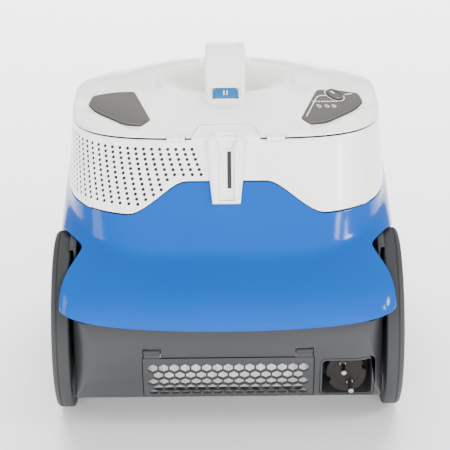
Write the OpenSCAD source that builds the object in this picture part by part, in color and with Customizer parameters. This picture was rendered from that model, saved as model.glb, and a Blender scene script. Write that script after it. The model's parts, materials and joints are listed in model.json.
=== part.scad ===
// Canister vacuum cleaner with a water tank, standing on two rear wheels and two front casters.
// +X is the right-hand side, -Y the rear, +Z up. The origin is under the middle, on the floor.

/* [Body] */
// Width of the upper body
body_w = 290; // [242:1:350]
// Length from the rear skirt to the nose
body_l = 470; // [392:1:565]
// Height of the underside of the base
base_z = 31; // [31:1:38]
// Height of the skirt's lower edge
lip_z = 113; // [110:1:116]
// Height of the seam between the body and the lid, at the rear
seam_z = 253; // [248:1:262]
// Height of the top of the carry handle
top_z = 309; // [303:1:320]
// Wall of every moulded shell
wall = 3; // [2.5:0.1:3.6]
// How far the skirt stands out past the body on each side
flare = 9.5; // [8:0.5:11]

/* [Wheels] */
// Radius of the rear wheels
wheel_r = 81.5; // [68:0.5:84]
// Width of the rear wheels
wheel_w = 18; // [14:1:20]
// Radius of the rear axles
axle_r = 6; // [4:0.5:8]
// Radius of the caster wheels
caster_r = 13; // [10:0.5:13.5]
// Width of the caster wheels
caster_w = 14; // [11:0.5:17]
// Radius of the caster stems
stem_r = 4; // [3:0.1:5]

/* [Lid] */
// Width of the carry handle
handle_w = 37; // [30:1:45]
// Thickness of the carry handle
handle_t = 13; // [10:0.5:15]
// Radius of the lid's hinge pins
pin_r = 1.2; // [1:0.1:1.5]
// Radius of the rotary knob
knob_r = 8; // [6:0.5:9.5]

/* [Cord] */
// Diameter of the mains plug
plug_d = 37; // [31:1:42]
// Pitch of the plug's two pins
pin_pitch = 19; // [15:0.5:23]
// Radius of the mains lead
lead_r = 3; // [2.5:0.1:3.6]
// Radius of the wound cord on its drum
wound_r = 48; // [40:1:50]
// Width between the drum's flanges
drum_w = 34; // [28:1:40]

/* [Motor and tank] */
// Radius of the motor housing
housing_r = 70; // [64:1:78]
// Radius of the motor shaft
shaft_r = 4; // [3:0.1:5]
// Bore of the hose socket
hose_bore_r = 19.5; // [16:0.5:23]
// Half-width of the water tank
tank_half = 90; // [75:1:96]

/* [Exhaust] */
// Width of the exhaust door
door_w = 152; // [127:1:158]
// Distance across the flats of the exhaust door's holes
mesh_hole = 7.9; // [6.6:0.1:9]

/* [Hidden] */
$fn = 48;

// Running clearance of a shaft in its bore, gap between mouldings and gap between moving bodies
run = 0.05;
gap = 0.4;
free = 1.0;

half_w = body_w/2;
half_l = body_l/2;
crease_z = lip_z + 47;
wave_z = lip_z + 77;
line_z = wave_z + 2;
plateau_z = seam_z - 34;
axle_y = -half_l + 100;
axle_z = wheel_r;
arch_r = wheel_r + 4.2;
liner_r = wheel_r + 2.4;
liner_rear = 26;
axle_boss = 19;
wheel_in = half_w - 4;

// Base: a barrel-shaped wall at both ends, of this radius, its middle at this height
end_r = 72;
end_mid_z = base_z + 51.5;
end_y = half_l - 15 - end_r;
tub_half = half_w - 6;
tub_top = lip_z - 1;
floor_z = base_z + wall;

// Lid: a dish under the handle, measured from the hinge line
hinge_y = -(half_l - 110) - 0.5;
hinge_z = seam_z;
dish_y = hinge_y + 113;
dish_a = 60;
dish_b = 37;
dish_depth = 24;
deck_z = seam_z - 38;

// Exhaust door and its hinge
door_top_z = base_z + 49;
door_axis_z = door_top_z + 6;
door_axis_y = -end_y - end_r + 1.6;
lug_w = 15;
door_t = 2.5;

// Mains lead and its plug, by the right-hand wall, and the cord reel just inside it
lead_x = half_w - 39;
reel_x = lead_x - 8;
flange_t = 2.5;
reel_y = -half_l + 138;
reel_z = floor_z + 73;
flange_r = wound_r + 14;
hub_r = 22;
drum_pin_r = 5;
plug_len = 32;
pin_tilt = 20;
plug_face_y = -half_l + 33;
plug_z = reel_z - wound_r - lead_r - 0.4;

// Motor, between the reel and the left-hand wall
motor_x = (reel_x - drum_w/2 - 10 - tub_half + wall)/2;
motor_y = -half_l + 152;
housing_top = floor_z + 118;
can_r = housing_r - 15;
can_z = floor_z + 12;
can_h = 62;
fan_r = housing_r - 6;

// Tank, in front of the motor
tank_y0 = motor_y + housing_r + 12;
tank_y1 = half_l - 88;
tank_z0 = floor_z + 4;
tank_l = tank_y1 - tank_y0;
tank_mid_y = (tank_y0 + tank_y1)/2;
hose_z = crease_z + 5;
hose_y = half_l + 2;
caster_x = half_w - 55;
caster_y = half_l - 75;

// ---- curves and surfaces ----

function seg(k, x, i = 0) = (i < len(k) - 2 && x >= k[i + 1][0]) ? seg(k, x, i + 1) : i;
function slope(k, i) = let(a = max(0, i - 1), b = min(len(k) - 1, i + 1))
    (k[b][1] - k[a][1])/(k[b][0] - k[a][0]);
// Smooth curve through the points of k, read at x
function curve(k, x) = let(i = seg(k, x), h = k[i + 1][0] - k[i][0],
    t = max(0, min(1, (x - k[i][0])/h)))
    k[i][1]*(2*t^3 - 3*t^2 + 1) + h*slope(k, i)*(t^3 - 2*t^2 + t)
    + k[i + 1][1]*(3*t^2 - 2*t^3) + h*slope(k, i + 1)*(t^3 - t^2);
function step(a, b, x) = let(t = max(0, min(1, (x - a)/(b - a)))) t*t*(3 - 2*t);

// Radius of a rounded rectangle in plan, a by b, its ends bowed, its corners sharper as n grows
function plan(th, a, b, n, bow = 0) = let(c = abs(cos(th)), s = abs(sin(th)), k = bow*c*c,
    side = a/max(c, 1e-6), end = k < 1e-9 ? b/max(s, 1e-6) : (sqrt(s*s + 4*k*b) - s)/(2*k))
    pow(pow(side, -n) + pow(end, -n), -1/n);

body_half_at = [[lip_z, half_w - 5], [crease_z, half_w + 2], [wave_z, half_w + 3], [seam_z, half_w - 1]];
body_rear_at = [[lip_z, half_l - 30], [crease_z, half_l - 54], [wave_z, half_l - 74],
    [seam_z, half_l - 110]];
body_front_at = [[lip_z, half_l - 12], [wave_z, half_l - 25], [seam_z, half_l - 75]];
skirt_half_at = [[lip_z, half_w + flare], [lip_z + 30, half_w + flare],
    [lip_z + 55, half_w + flare - 2], [wave_z, half_w + 4], [wave_z + 15, half_w - 8]];
skirt_rear_at = [[lip_z, half_l], [lip_z + 15, half_l - 7], [lip_z + 30, half_l - 23],
    [crease_z, half_l - 54], [wave_z, half_l - 125]];
skirt_front_at = [[lip_z, half_l], [lip_z + 30, half_l - 5], [wave_z, half_l - 28],
    [wave_z + 30, half_l - 70], [seam_z, half_l - 110]];
skirt_corner_at = [[lip_z, 18], [lip_z + 35, 16], [lip_z + 50, 9], [wave_z, 4.5]];

function body_r(th, z) = sin(th) < 0
    ? plan(th, curve(body_half_at, z), curve(body_rear_at, z), 4)
    : plan(th, curve(body_half_at, z), curve(body_front_at, z), 2.8);
function skirt_r(th, z) = sin(th) < 0
    ? plan(th, curve(skirt_half_at, z), curve(skirt_rear_at, z), curve(skirt_corner_at, z), 0.0005)
    : plan(th, curve(skirt_half_at, z), curve(skirt_front_at, z), 3);
// The outside of the body: the larger of body and skirt, blended over a narrow crease
function skin_r(th, z) = let(a = body_r(th, z), b = skirt_r(th, z), m = max(a, b))
    m*pow(pow(a/m, 50) + pow(b/m, 50), 1/50);
function at(th, r, z) = [r*cos(th), r*sin(th), z];

// Height of the skirt's lower edge: a wheel arch, and a level lip elsewhere
function arch_z(y) = abs(y - axle_y) < arch_r ? axle_z + sqrt(arch_r^2 - (y - axle_y)^2) : 0;
function skirt_low(th, n = 8) = n == 0 ? lip_z + 16
    : let(p = at(th, skin_r(th, skirt_low(th, n - 1)), 0))
    max(lip_z + 3.5*pow(abs(p[0])/half_w, 2) + 5.5*pow(abs(p[0])/half_w, 6), arch_z(p[1]));
// Height of the wave where the skirt meets the upper shell
function wave(th) = let(x = abs(skin_r(th, plateau_z)*cos(th)))
    sin(th) < 0 ? line_z + (plateau_z - line_z)*(1 - step(36, 82, x)) : line_z;
// Height of the seam under the lid: level at the rear, falling to the nose
function seam_fall(y) = seam_z - 28*step(hinge_y + 115, half_l - 20, y);
function seam_at(th, n = 6) = n == 0 ? seam_z : seam_fall(skin_r(th, seam_at(th, n - 1))*sin(th));

theta = [for (i = [0:95]) i*360/96];

// A closed mesh through rings of points that follow each other from top to bottom, outside first
module skin(rings, capped = false) {
    n = len(rings[0]);
    m = len(rings);
    last = capped ? m - 2 : m - 1;
    walls = [for (i = [0:last]) for (j = [0:n - 1])
        let(a = i*n + j, b = i*n + (j + 1)%n, c = ((i + 1)%m)*n + (j + 1)%n, d = ((i + 1)%m)*n + j)
        each [[a, b, c], [a, c, d]]];
    caps = capped ? [[for (j = [n - 1:-1:0]) j], [for (j = [0:n - 1]) (m - 1)*n + j]] : [];
    polyhedron([for (r = rings) for (p = r) p], concat(walls, caps));
}
// A wall of even thickness between two heights that vary round the body
module band(low, high, steps) {
    outer = [for (k = [0:steps]) [for (i = [0:95]) let(th = theta[i],
        z = high[i] + (low[i] - high[i])*k/steps) at(th, skin_r(th, z), z)]];
    inner = [for (k = [steps:-1:0]) [for (i = [0:95]) let(th = theta[i],
        z = high[i] + (low[i] - high[i])*k/steps) at(th, skin_r(th, z) - wall, z)]];
    skin(concat(outer, inner));
}

// ---- small shared shapes ----

function round_rect(w, l, r, n = 6) = [for (q = [0:3]) for (k = [0:n]) let(a = 90*q + 90*k/n,
    sx = (q == 0 || q == 3) ? 1 : -1, sy = q < 2 ? 1 : -1)
    [sx*(w/2 - r) + r*cos(a), sy*(l/2 - r) + r*sin(a)]];
module slab(w, l, h, r) { linear_extrude(h) polygon(round_rect(w, l, r)); }
module tube(r_out, r_in, h) {
    difference() {
        cylinder(r = r_out, h = h);
        translate([0, 0, -1]) cylinder(r = r_in, h = h + 2);
    }
}
module along_x(x) { translate([x, 0, 0]) rotate([0, 90, 0]) children(); }
module along_y(y) { translate([0, y, 0]) rotate([-90, 0, 0]) children(); }
// An outline in Y and Z, drawn along X
module side_extrude(w) { rotate([90, 0, 90]) translate([0, 0, -w/2]) linear_extrude(w) children(); }
module both_sides() {
    children();
    mirror([1, 0, 0]) children();
}

// ---- base ----

function end_angles(r) = let(low = asin(min(1, (end_mid_z - base_z)/end_r)),
    high = asin((tub_top - end_mid_z)/end_r)) [for (k = [0:10]) low - (low + high)*k/10];
function tub_side(inset, top) = let(r = end_r - inset, a = end_angles(r)) concat(
    [for (t = a) [-end_y - r*cos(t), end_mid_z - r*sin(t)]], [[-end_y - r*cos(a[10]), top],
    [end_y + r*cos(a[10]), top]],
    [for (k = [10:-1:0]) [end_y + r*cos(a[k]), end_mid_z - r*sin(a[k])]]);
function tub_plan(inset) = let(w = tub_half - inset, l = end_y + end_r - inset, rr = 28 - inset,
    fr = 110 - inset) concat(
    [for (k = [0:8]) let(a = 90*k/8) [w - fr + fr*cos(a), l - fr + fr*sin(a)]],
    [for (k = [0:8]) let(a = 90 + 90*k/8) [-w + fr + fr*cos(a), l - fr + fr*sin(a)]],
    [for (k = [0:4]) let(a = 180 + 90*k/4) [-w + rr + rr*cos(a), -l + rr + rr*sin(a)]],
    [for (k = [0:4]) let(a = 270 + 90*k/4) [w - rr + rr*cos(a), -l + rr + rr*sin(a)]]);
module tub_form(inset, low, top) {
    intersection() {
        side_extrude(2*half_w) polygon(tub_side(inset, top));
        translate([0, 0, low]) linear_extrude(top - low) polygon(tub_plan(inset));
    }
}
boss_r = 5;
screw_spots = [[-tub_half + 16, 40], [tub_half - 16, 40], [-tub_half + 16, half_l - 130],
    [tub_half - 16, half_l - 130]];
recess_w = plug_d + 12;
recess_h = plug_d + 8;
module base_tub() {
    color("dimgray") difference() {
        union() {
            difference() {
                tub_form(0, base_z, tub_top);
                tub_form(wall, floor_z, tub_top + 1);
            }
            both_sides() {
                translate([0, axle_y, axle_z]) along_x(tub_half - axle_boss)
                    cylinder(r = axle_r + 6, h = axle_boss - 1);
                wheel_liner();
                translate([caster_x, caster_y, floor_z - 1]) cylinder(r = stem_r + 5, h = 17);
                translate([door_w/2 - lug_w - 3, door_axis_y, door_axis_z]) along_x(0)
                    cylinder(r = pin_r, h = lug_w + 2.5);
            }
            for (p = screw_spots) translate([p[0], p[1], floor_z - 1]) cylinder(r = boss_r, h = 19);
        }
        translate([-door_w/2 - 0.5, -half_l, floor_z - 0.5])
            cube([door_w + 1, half_l - end_y, door_top_z + 0.6 - floor_z + 0.5]);
        both_sides() {
            door_slot();
            translate([0, axle_y, axle_z]) along_x(tub_half - axle_boss - 1)
                cylinder(r = axle_r, h = 40);
            translate([caster_x, caster_y, base_z - 1]) cylinder(r = stem_r + run, h = 16);
        }
        translate([lead_x, -half_l, plug_z]) rotate([-90, 0, 0]) translate([0, 0, 1])
            slab(recess_w, recess_h, half_l - end_y, 6);
        for (p = screw_spots) translate([p[0], p[1], base_z - 1]) {
            cylinder(r = 1.6, h = 16);
            cylinder(r = 3.7, h = 3.2);
        }
    }
}
// The wall behind a wheel, above the tub, with a rim that turns outward over the tyre
module wheel_liner() {
    intersection() {
        translate([0, axle_y, axle_z]) union() {
            along_x(tub_half - wall) cylinder(r = liner_r, h = wall);
            along_x(tub_half - wall) tube(liner_r, liner_r - 1.4, wheel_in + 1 - tub_half + wall);
        }
        translate([0, axle_y - liner_rear, tub_top - wall])
            cube([half_w + 5, liner_rear + 0.84*liner_r, 2*liner_r]);
    }
}
// The opening round one hinge lug, with the bar left standing
module door_slot() {
    x0 = door_w/2 - lug_w - 1;
    difference() {
        translate([x0, -half_l, door_top_z]) cube([lug_w + 0.6, half_l - end_y, 9]);
        translate([x0 - 1, door_axis_y, door_axis_z]) rotate([0, 90, 0]) cylinder(r = pin_r, h = lug_w + 3);
    }
}
module base_screws() {
    color("silver") for (p = screw_spots) translate([p[0], p[1], base_z + 0.2]) difference() {
        union() {
            cylinder(r = 3.5, h = 2);
            cylinder(r = 1.6, h = 13);
        }
        translate([0, 0, -1]) cylinder(r = 1.5, h = 2, $fn = 6);
    }
}
module rear_axles() {
    color("silver") both_sides() translate([0, axle_y, axle_z]) along_x(tub_half - axle_boss + 1)
        cylinder(r = axle_r, h = wheel_in - tub_half + axle_boss - 1 + wheel_w - 7);
}

// ---- shells ----

module hood() {
    low = [for (th = theta) skirt_low(th)];
    high = [for (th = theta) wave(th) - gap/2];
    color("dodgerblue") difference() {
        band(low, high, 11);
        translate([0, 0, hose_z]) along_y(half_l - 60) cylinder(r = hose_bore_r + 7.5, h = 80);
    }
}
module upper_shell() {
    low = [for (th = theta) wave(th) + gap/2];
    high = [for (th = theta) seam_at(th) - gap];
    color("white") difference() {
        band(low, high, 6);
        hinge_room();
    }
}

// The rear of the shell leans forward by this much
lean = atan((body_rear_at[2][1] - body_rear_at[3][1])/(seam_z - wave_z));
rail_h = 66;
module rail_place() {
    translate([0, -body_rear_at[3][1], seam_z]) rotate([-lean, 0, 0]) rotate([90, 0, 0]) children();
}
// A channel in the rail: its half-width, its upper and lower end and the height of its floor
module rail_cut(half, top, low, floor) {
    translate([-half, low, floor]) cube([2*half, top - low, 10]);
}
module parking_rail() {
    outline = [[-12, 6], [12, 6], [18.5, -5], [12.5, 6 - rail_h], [-12.5, 6 - rail_h], [-18.5, -5]];
    color("white") union() {
        rail_barrel();
        rail_place() difference() {
            translate([0, 0, -0.2]) linear_extrude(8) polygon(outline);
            rail_cut(7.5, 20, 8 - rail_h, 2.5);
            rail_cut(2.2, -9, -45, -1);
            rail_cut(9.5, 20, -5, 1);
        }
    }
}
// The hump that fills the lid's notch behind the rail: round about the hinge, so that the lid clears it
notch_r = 18.6;
notch_gap = 0.7;
module rail_barrel() {
    intersection() {
        notch_form(0);
        side_extrude(80) polygon([[hinge_y - 2.5, hinge_z - 1], [hinge_y - 2.5, hinge_z + 0.8],
            [hinge_y + 20, hinge_z + 8.4], [hinge_y + 20, hinge_z - 1]]);
    }
}
// A barrel about the hinge, narrower towards the front
module notch_form(grow) {
    intersection() {
        hinge_knuckle(-36, 72, notch_r + grow);
        translate([0, 0, hinge_z - 30]) linear_extrude(60) polygon([[-32 - grow, hinge_y - 20],
            [32 + grow, hinge_y - 20], [32 + grow, hinge_y - 3], [21.3 + grow, hinge_y + 20],
            [-21.3 - grow, hinge_y + 20], [-32 - grow, hinge_y - 3]]);
    }
}
module inner_deck() {
    outline = [for (th = theta) let(r = body_r(th, deck_z + 4) - wall - 1.5) [r*cos(th), r*sin(th)]];
    color("gray") difference() {
        translate([0, 0, deck_z]) linear_extrude(3) polygon(outline);
        translate([0, tank_mid_y, deck_z - 1]) slab(2*tank_half + 5, tank_l + 5, 5, 17);
    }
}

// ---- exhaust ----

filter_y = -half_l + 40;
module exhaust_filter_frame() {
    color("white") translate([0, filter_y, floor_z + 0.5]) difference() {
        translate([-door_w/2 + 2, 0, 0]) cube([door_w - 4, 16, 44]);
        translate([-door_w/2 + 5, -1, 3]) cube([door_w - 10, 18, 38]);
    }
}
module exhaust_filter_media() {
    pleats = 24;
    pitch = (door_w - 11)/pleats;
    zig = [for (i = [0:pleats]) [i*pitch, i%2 == 0 ? 1.5 : 12.5]];
    back = [for (i = [pleats:-1:0]) [i*pitch, i%2 == 0 ? 3 : 14]];
    color("whitesmoke") translate([-(door_w - 11)/2, filter_y, floor_z + 3.6])
        linear_extrude(37.8) polygon(concat(zig, back));
}
door_from = asin((end_mid_z - door_top_z)/end_r);
door_to = asin((end_mid_z - floor_z)/end_r);
function door_arc(r, k) = let(t = door_from + (door_to - door_from)*k/10)
    [-end_y - r*cos(t), end_mid_z - r*sin(t)];
module exhaust_door() {
    pitch = mesh_hole + 1.7;
    row = pitch*0.866;
    cols = floor((door_w - 7)/pitch);
    color("gray") union() {
        difference() {
            side_extrude(door_w) polygon(concat([for (k = [0:10]) door_arc(end_r, k)],
                [for (k = [10:-1:0]) door_arc(end_r - door_t, k)]));
            for (j = [0:4]) for (i = [0:cols - 1 - j%2])
                translate([(i - (cols - 1 - j%2)/2)*pitch, 0, 0])
                door_hole(door_from + 8.5 + j*row*180/(PI*end_r));
        }
        both_sides() difference() {
            translate([door_w/2 - lug_w - 0.5, 0, 0]) union() {
                translate([0, door_axis_y - 1, door_top_z - 3]) cube([lug_w - 0.4, 2.2, 8]);
                translate([0, door_axis_y, door_axis_z]) rotate([0, 90, 0]) cylinder(r = 2.3, h = lug_w - 0.4);
            }
            translate([0, door_axis_y, door_axis_z]) rotate([0, 90, 0]) cylinder(r = pin_r + run, h = door_w);
        }
    }
}
module door_hole(t) {
    translate([0, -end_y, end_mid_z]) rotate([t, 0, 0]) translate([0, -end_r - 3, 0])
        rotate([-90, 0, 0]) rotate([0, 0, 30]) cylinder(r = mesh_hole/2/cos(30), h = 9, $fn = 6);
}

// ---- plug and cord reel ----

module plug_recess() {
    depth = plug_face_y + plug_len + 10 + end_y + end_r;
    color("dimgray") intersection() {
        tub_form(0.4, base_z + 1, tub_top);
        translate([lead_x, -end_y - end_r, plug_z]) rotate([-90, 0, 0]) difference() {
            slab(recess_w - 0.6, recess_h - 0.6, depth, 5.7);
            translate([0, 0, -1]) slab(recess_w - 4.6, recess_h - 4.6, depth - 1, 3.7);
            cylinder(r = lead_r + 1.2, h = depth + 1);
        }
    }
}
module plug_body() {
    color("black") translate([lead_x, plug_face_y, plug_z]) rotate([-90, 0, 0]) difference() {
        union() {
            cylinder(r = plug_d/2, h = 12);
            translate([0, 0, 12]) cylinder(r1 = plug_d/2, r2 = 9, h = 8);
            translate([0, 0, 20]) cylinder(r = 6, h = plug_len - 20);
        }
        translate([0, 0, -1]) rotate([0, 0, -pin_tilt]) for (s = [-1, 1])
            translate([0, s*pin_pitch/2, 0]) cylinder(r = neck_r, h = 6);
        rotate([0, 0, 90 - pin_tilt]) for (s = [-1, 1]) translate([0, s*plug_d/2, -1]) cylinder(r = 3.2, h = 9);
        translate([0, 0, plug_len - 6]) cylinder(r = lead_r + run, h = 7);
    }
}
// Round pins, each held in the body by a thinner neck
plug_pin_r = 2.4;
plug_pin_l = 19;
neck_r = 2;
module plug_pins() {
    color("silver") translate([lead_x, plug_face_y, plug_z]) rotate([-90, 0, 0]) rotate([0, 0, -pin_tilt])
        for (s = [-1, 1]) translate([0, s*pin_pitch/2, -plug_pin_l]) union() {
            cylinder(r = plug_pin_r, h = plug_pin_l - 0.5);
            cylinder(r = neck_r, h = plug_pin_l + 5);
        }
}
module cord_lead() {
    color("black") translate([lead_x, 0, plug_z]) along_y(plug_face_y + plug_len - 6)
        cylinder(r = lead_r, h = reel_y - plug_face_y - plug_len + 6);
}
module cord_drum() {
    color("dimgray") translate([0, reel_y, reel_z]) along_x(reel_x - drum_w/2 - flange_t) difference() {
        union() {
            cylinder(r = flange_r, h = flange_t);
            cylinder(r = hub_r, h = drum_w + 2*flange_t);
            translate([0, 0, drum_w + flange_t]) cylinder(r = flange_r, h = flange_t);
        }
        translate([0, 0, -1]) cylinder(r = drum_pin_r + run, h = drum_w + 7);
        for (a = [0:60:300]) rotate([0, 0, a]) {
            translate([hub_r + 17, 0, -1]) cylinder(r = 8, h = flange_t + 1);
            translate([hub_r + 17, 0, drum_w + flange_t]) cylinder(r = 8, h = flange_t + 1.5);
        }
    }
}
module wound_cord() {
    color("black") translate([0, reel_y, reel_z]) along_x(reel_x - drum_w/2 + 0.4)
        tube(wound_r, hub_r, drum_w - 0.8);
}
bracket_x = reel_x - drum_w/2 - flange_t - 3.5;
module reel_bracket() {
    color("gray") difference() {
        union() {
            translate([bracket_x - 3, reel_y - 40, floor_z]) cube([3, 80, reel_z - floor_z + 30]);
            translate([bracket_x - 22, reel_y - 40, floor_z]) cube([22, 80, 3]);
            translate([bracket_x - 3, reel_y, reel_z]) rotate([0, 90, 0])
                cylinder(r = drum_pin_r, h = drum_w + 5 + 3.5 + 3);
            translate([bracket_x - 9.5, reel_y, reel_z]) rotate([0, 90, 0]) cylinder(r = 12, h = 9.5);
        }
        translate([bracket_x - 3, brake_y, brake_z]) rotate([0, 90, 0]) translate([0, 0, -1])
            cylinder(r = 2.5, h = 5);
    }
}
brake_y = reel_y + 28;
brake_z = reel_z + 12;
brake_arm = sqrt(pow(flange_r + 5.6, 2) - pow(brake_y - reel_y, 2)) - brake_z + reel_z;
module rewind_spring_case() {
    color("silver") translate([bracket_x - 19, reel_y, reel_z]) rotate([0, 90, 0]) cylinder(r = 34, h = 9.5);
}
// The brake: an arm on its own pin, whose pad stands just clear of the drum's rim
module reel_brake() {
    color("black") translate([bracket_x - 4.5, brake_y, brake_z]) rotate([0, 90, 0]) union() {
        translate([0, 0, -1]) cylinder(r = 2.5 - run, h = 6);
        translate([0, 0, 5]) cylinder(r = 4, h = 1.6);
        translate([0, 0, -3.4]) cylinder(r = 5, h = 3.4);
        translate([-brake_arm, -3.5, -3.4]) cube([brake_arm - 2, 7, 3.4]);
        translate([-brake_arm, 0, -3.4]) cylinder(r = 4.5, h = 22);
    }
}

// ---- motor ----

module at_motor(z) { translate([motor_x, motor_y, z]) children(); }
module motor_housing() {
    color("gray") at_motor(floor_z) difference() {
        cylinder(r = housing_r, h = housing_top - floor_z - 3);
        translate([0, 0, 3]) cylinder(r = housing_r - 3, h = housing_top);
        translate([-40, -housing_r - 5, 8]) cube([80, 20, 34]);
    }
}
module motor_housing_cover() {
    color("gray") at_motor(housing_top - 3) difference() {
        union() {
            cylinder(r = housing_r, h = 3);
            cylinder(r = 28, h = 12);
        }
        translate([0, 0, -1]) cylinder(r = 24, h = 14);
    }
}
module motor_mounts() {
    color("black") {
        at_motor(floor_z + 3) tube(38, 24, can_z - floor_z - 3);
        at_motor(can_z + can_h + 28) tube(46, 30, housing_top - 3 - can_z - can_h - 28);
    }
}
module motor_can() {
    color("silver") at_motor(can_z) difference() {
        cylinder(r = can_r, h = can_h);
        translate([0, 0, 3]) cylinder(r = can_r - 2, h = can_h - 6);
        translate([0, 0, -1]) cylinder(r = 10, h = can_h + 2);
        for (a = [0:45:315]) rotate([0, 0, a]) translate([can_r - 12, 0, -1]) cylinder(r = 6, h = 5);
    }
}
module stator() {
    color("peru") at_motor(can_z + 14) tube(can_r - 2.2, 29, 34);
}
module fan_cover() {
    color("silver") at_motor(can_z + can_h) difference() {
        cylinder(r = fan_r, h = 28);
        translate([0, 0, 2]) cylinder(r = fan_r - 2, h = 24);
        translate([0, 0, -1]) cylinder(r = 16, h = 5);
        translate([0, 0, 20]) cylinder(r = 22, h = 10);
        for (a = [0:30:330]) rotate([0, 0, a]) translate([can_r + 2.5, 0, -1]) cylinder(r = 3, h = 5);
    }
}
module motor_bearings() {
    color("silver") {
        at_motor(can_z) tube(10, shaft_r + run, 3);
        at_motor(can_z + can_h - 3) tube(10, shaft_r + run, 3);
    }
}
module carbon_brushes() {
    color("black") at_motor(can_z + 8) for (s = [-1, 1])
        translate([s*27 - 8, -3, 0]) cube([16, 6, 5]);
}
module motor_rotor() {
    color("silver") at_motor(can_z - 1) union() {
        cylinder(r = shaft_r, h = can_h + 22);
        translate([0, 0, 9]) cylinder(r = 14, h = 4.9);
        translate([0, 0, 16]) cylinder(r = 27, h = 32);
    }
}
module impeller() {
    color("silver") at_motor(can_z + can_h + 6) difference() {
        union() {
            cylinder(r = fan_r - 6, h = 1.5);
            cylinder(r = 9, h = 12);
            for (a = [0:40:320]) rotate([0, 0, a]) translate([14, -0.75, 1]) cube([fan_r - 22, 1.5, 9]);
            translate([0, 0, 9.5]) tube(fan_r - 6, 20, 1.5);
        }
        translate([0, 0, -1]) cylinder(r = shaft_r, h = 14);
    }
}
duct_z = housing_top + 9.2;
module intake_duct() {
    w = 60;
    l = tank_y0 - motor_y + 29.5;
    color("gray") translate([motor_x - w/2, motor_y - 30, duct_z]) difference() {
        cube([w, l, 24]);
        translate([2, 2, 2]) cube([w - 4, l, 20]);
        translate([w/2, 30, -1]) cylinder(r = 24, h = 4);
    }
}

// ---- electrics ----

module circuit_board() {
    color("green") translate([motor_x - 30, motor_y - 34, deck_z + 4]) cube([60, 40, 1.6]);
}
module power_switch() {
    color("black") translate([half_w - 52, hinge_y + 48, deck_z + 3]) cube([26, 16, 22]);
}

// ---- tank ----

module water_tank() {
    color("lightsteelblue") translate([0, tank_mid_y, 0]) difference() {
        union() {
            translate([0, 0, tank_z0]) slab(2*tank_half, tank_l, deck_z + 3.2 - tank_z0, 15);
            translate([0, 0, deck_z + 3.2]) slab(2*tank_half + 12, tank_l + 12, 2.5, 20);
        }
        translate([0, 0, tank_z0 + 2.5]) slab(2*tank_half - 5, tank_l - 5, deck_z, 12.5);
        translate([0, 0, hose_z]) along_y(tank_l/2 - 10) cylinder(r = 21.5, h = 20);
        translate([motor_x - 27, -tank_l/2 - 5, duct_z + 3]) cube([54, 15, 18]);
    }
}
module tank_seal() {
    color("black") translate([0, tank_mid_y, deck_z + 5.7]) difference() {
        slab(2*tank_half + 8, tank_l + 8, 2, 18);
        translate([0, 0, -1]) slab(2*tank_half, tank_l, 4, 14);
    }
}
module tank_cover() {
    color("lightsteelblue") translate([0, tank_mid_y, deck_z + 7.7]) difference() {
        slab(2*tank_half + 10, tank_l + 10, 5, 19);
        translate([0, 0, -1]) slab(2*tank_half - 6, tank_l - 6, 3.5, 12);
    }
}
module tank_inlet() {
    color("dimgray") translate([0, 0, hose_z]) along_y(tank_y1 - 24) tube(21, hose_bore_r - 1, 46);
}
module hose_socket() {
    color("dimgray") translate([0, 0, hose_z]) along_y(tank_y1 + 22) difference() {
        union() {
            cylinder(r = hose_bore_r + 4, h = hose_y - tank_y1 - 22 - 7);
            translate([0, 0, hose_y - tank_y1 - 22 - 12]) cylinder(r = hose_bore_r + 7, h = 10);
        }
        translate([0, 0, -1]) cylinder(r = hose_bore_r, h = hose_y);
    }
}

// ---- wheels ----

function wheel_dome() = [[axle_r + run, 1], [wheel_r - 7.5, 1], [wheel_r - 7.5, wheel_w - 4.5],
    [wheel_r - 12, wheel_w - 3], [wheel_r - 34, wheel_w - 1], [24.5, wheel_w - 1], [24.5, wheel_w - 5],
    [axle_r + run, wheel_w - 5]];
module wheel_place(side) {
    translate([0, axle_y, axle_z]) mirror([side < 0 ? 1 : 0, 0, 0]) translate([wheel_in, 0, 0])
        rotate([0, 90, 0]) children();
}
module wheel_disc(side) {
    color("dimgray") wheel_place(side) difference() {
        rotate_extrude() polygon(wheel_dome());
        for (a = [0:60:300]) rotate([0, 0, a]) translate([46, 0, -1]) cylinder(r = 12, h = 8);
    }
}
module tyre(side) {
    color("gray") wheel_place(side) rotate_extrude() polygon([[wheel_r - 7.5, 0], [wheel_r - 1.5, 0],
        [wheel_r, 1.5], [wheel_r, wheel_w - 5], [wheel_r - 1.5, wheel_w - 3],
        [wheel_r - 5, wheel_w - 1.6], [wheel_r - 7.5, wheel_w - 1.6]]);
}
module hub_cap(side) {
    color("silver") wheel_place(side) rotate_extrude() polygon([[0, wheel_w - 5], [24.4, wheel_w - 5],
        [24.4, wheel_w - 1.2], [20, wheel_w], [0, wheel_w]]);
}
module left_rear_wheel() { wheel_disc(-1); }
module right_rear_wheel() { wheel_disc(1); }
module left_tyre() { tyre(-1); }
module right_tyre() { tyre(1); }
module left_hub_cap() { hub_cap(-1); }
module right_hub_cap() { hub_cap(1); }

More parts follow.
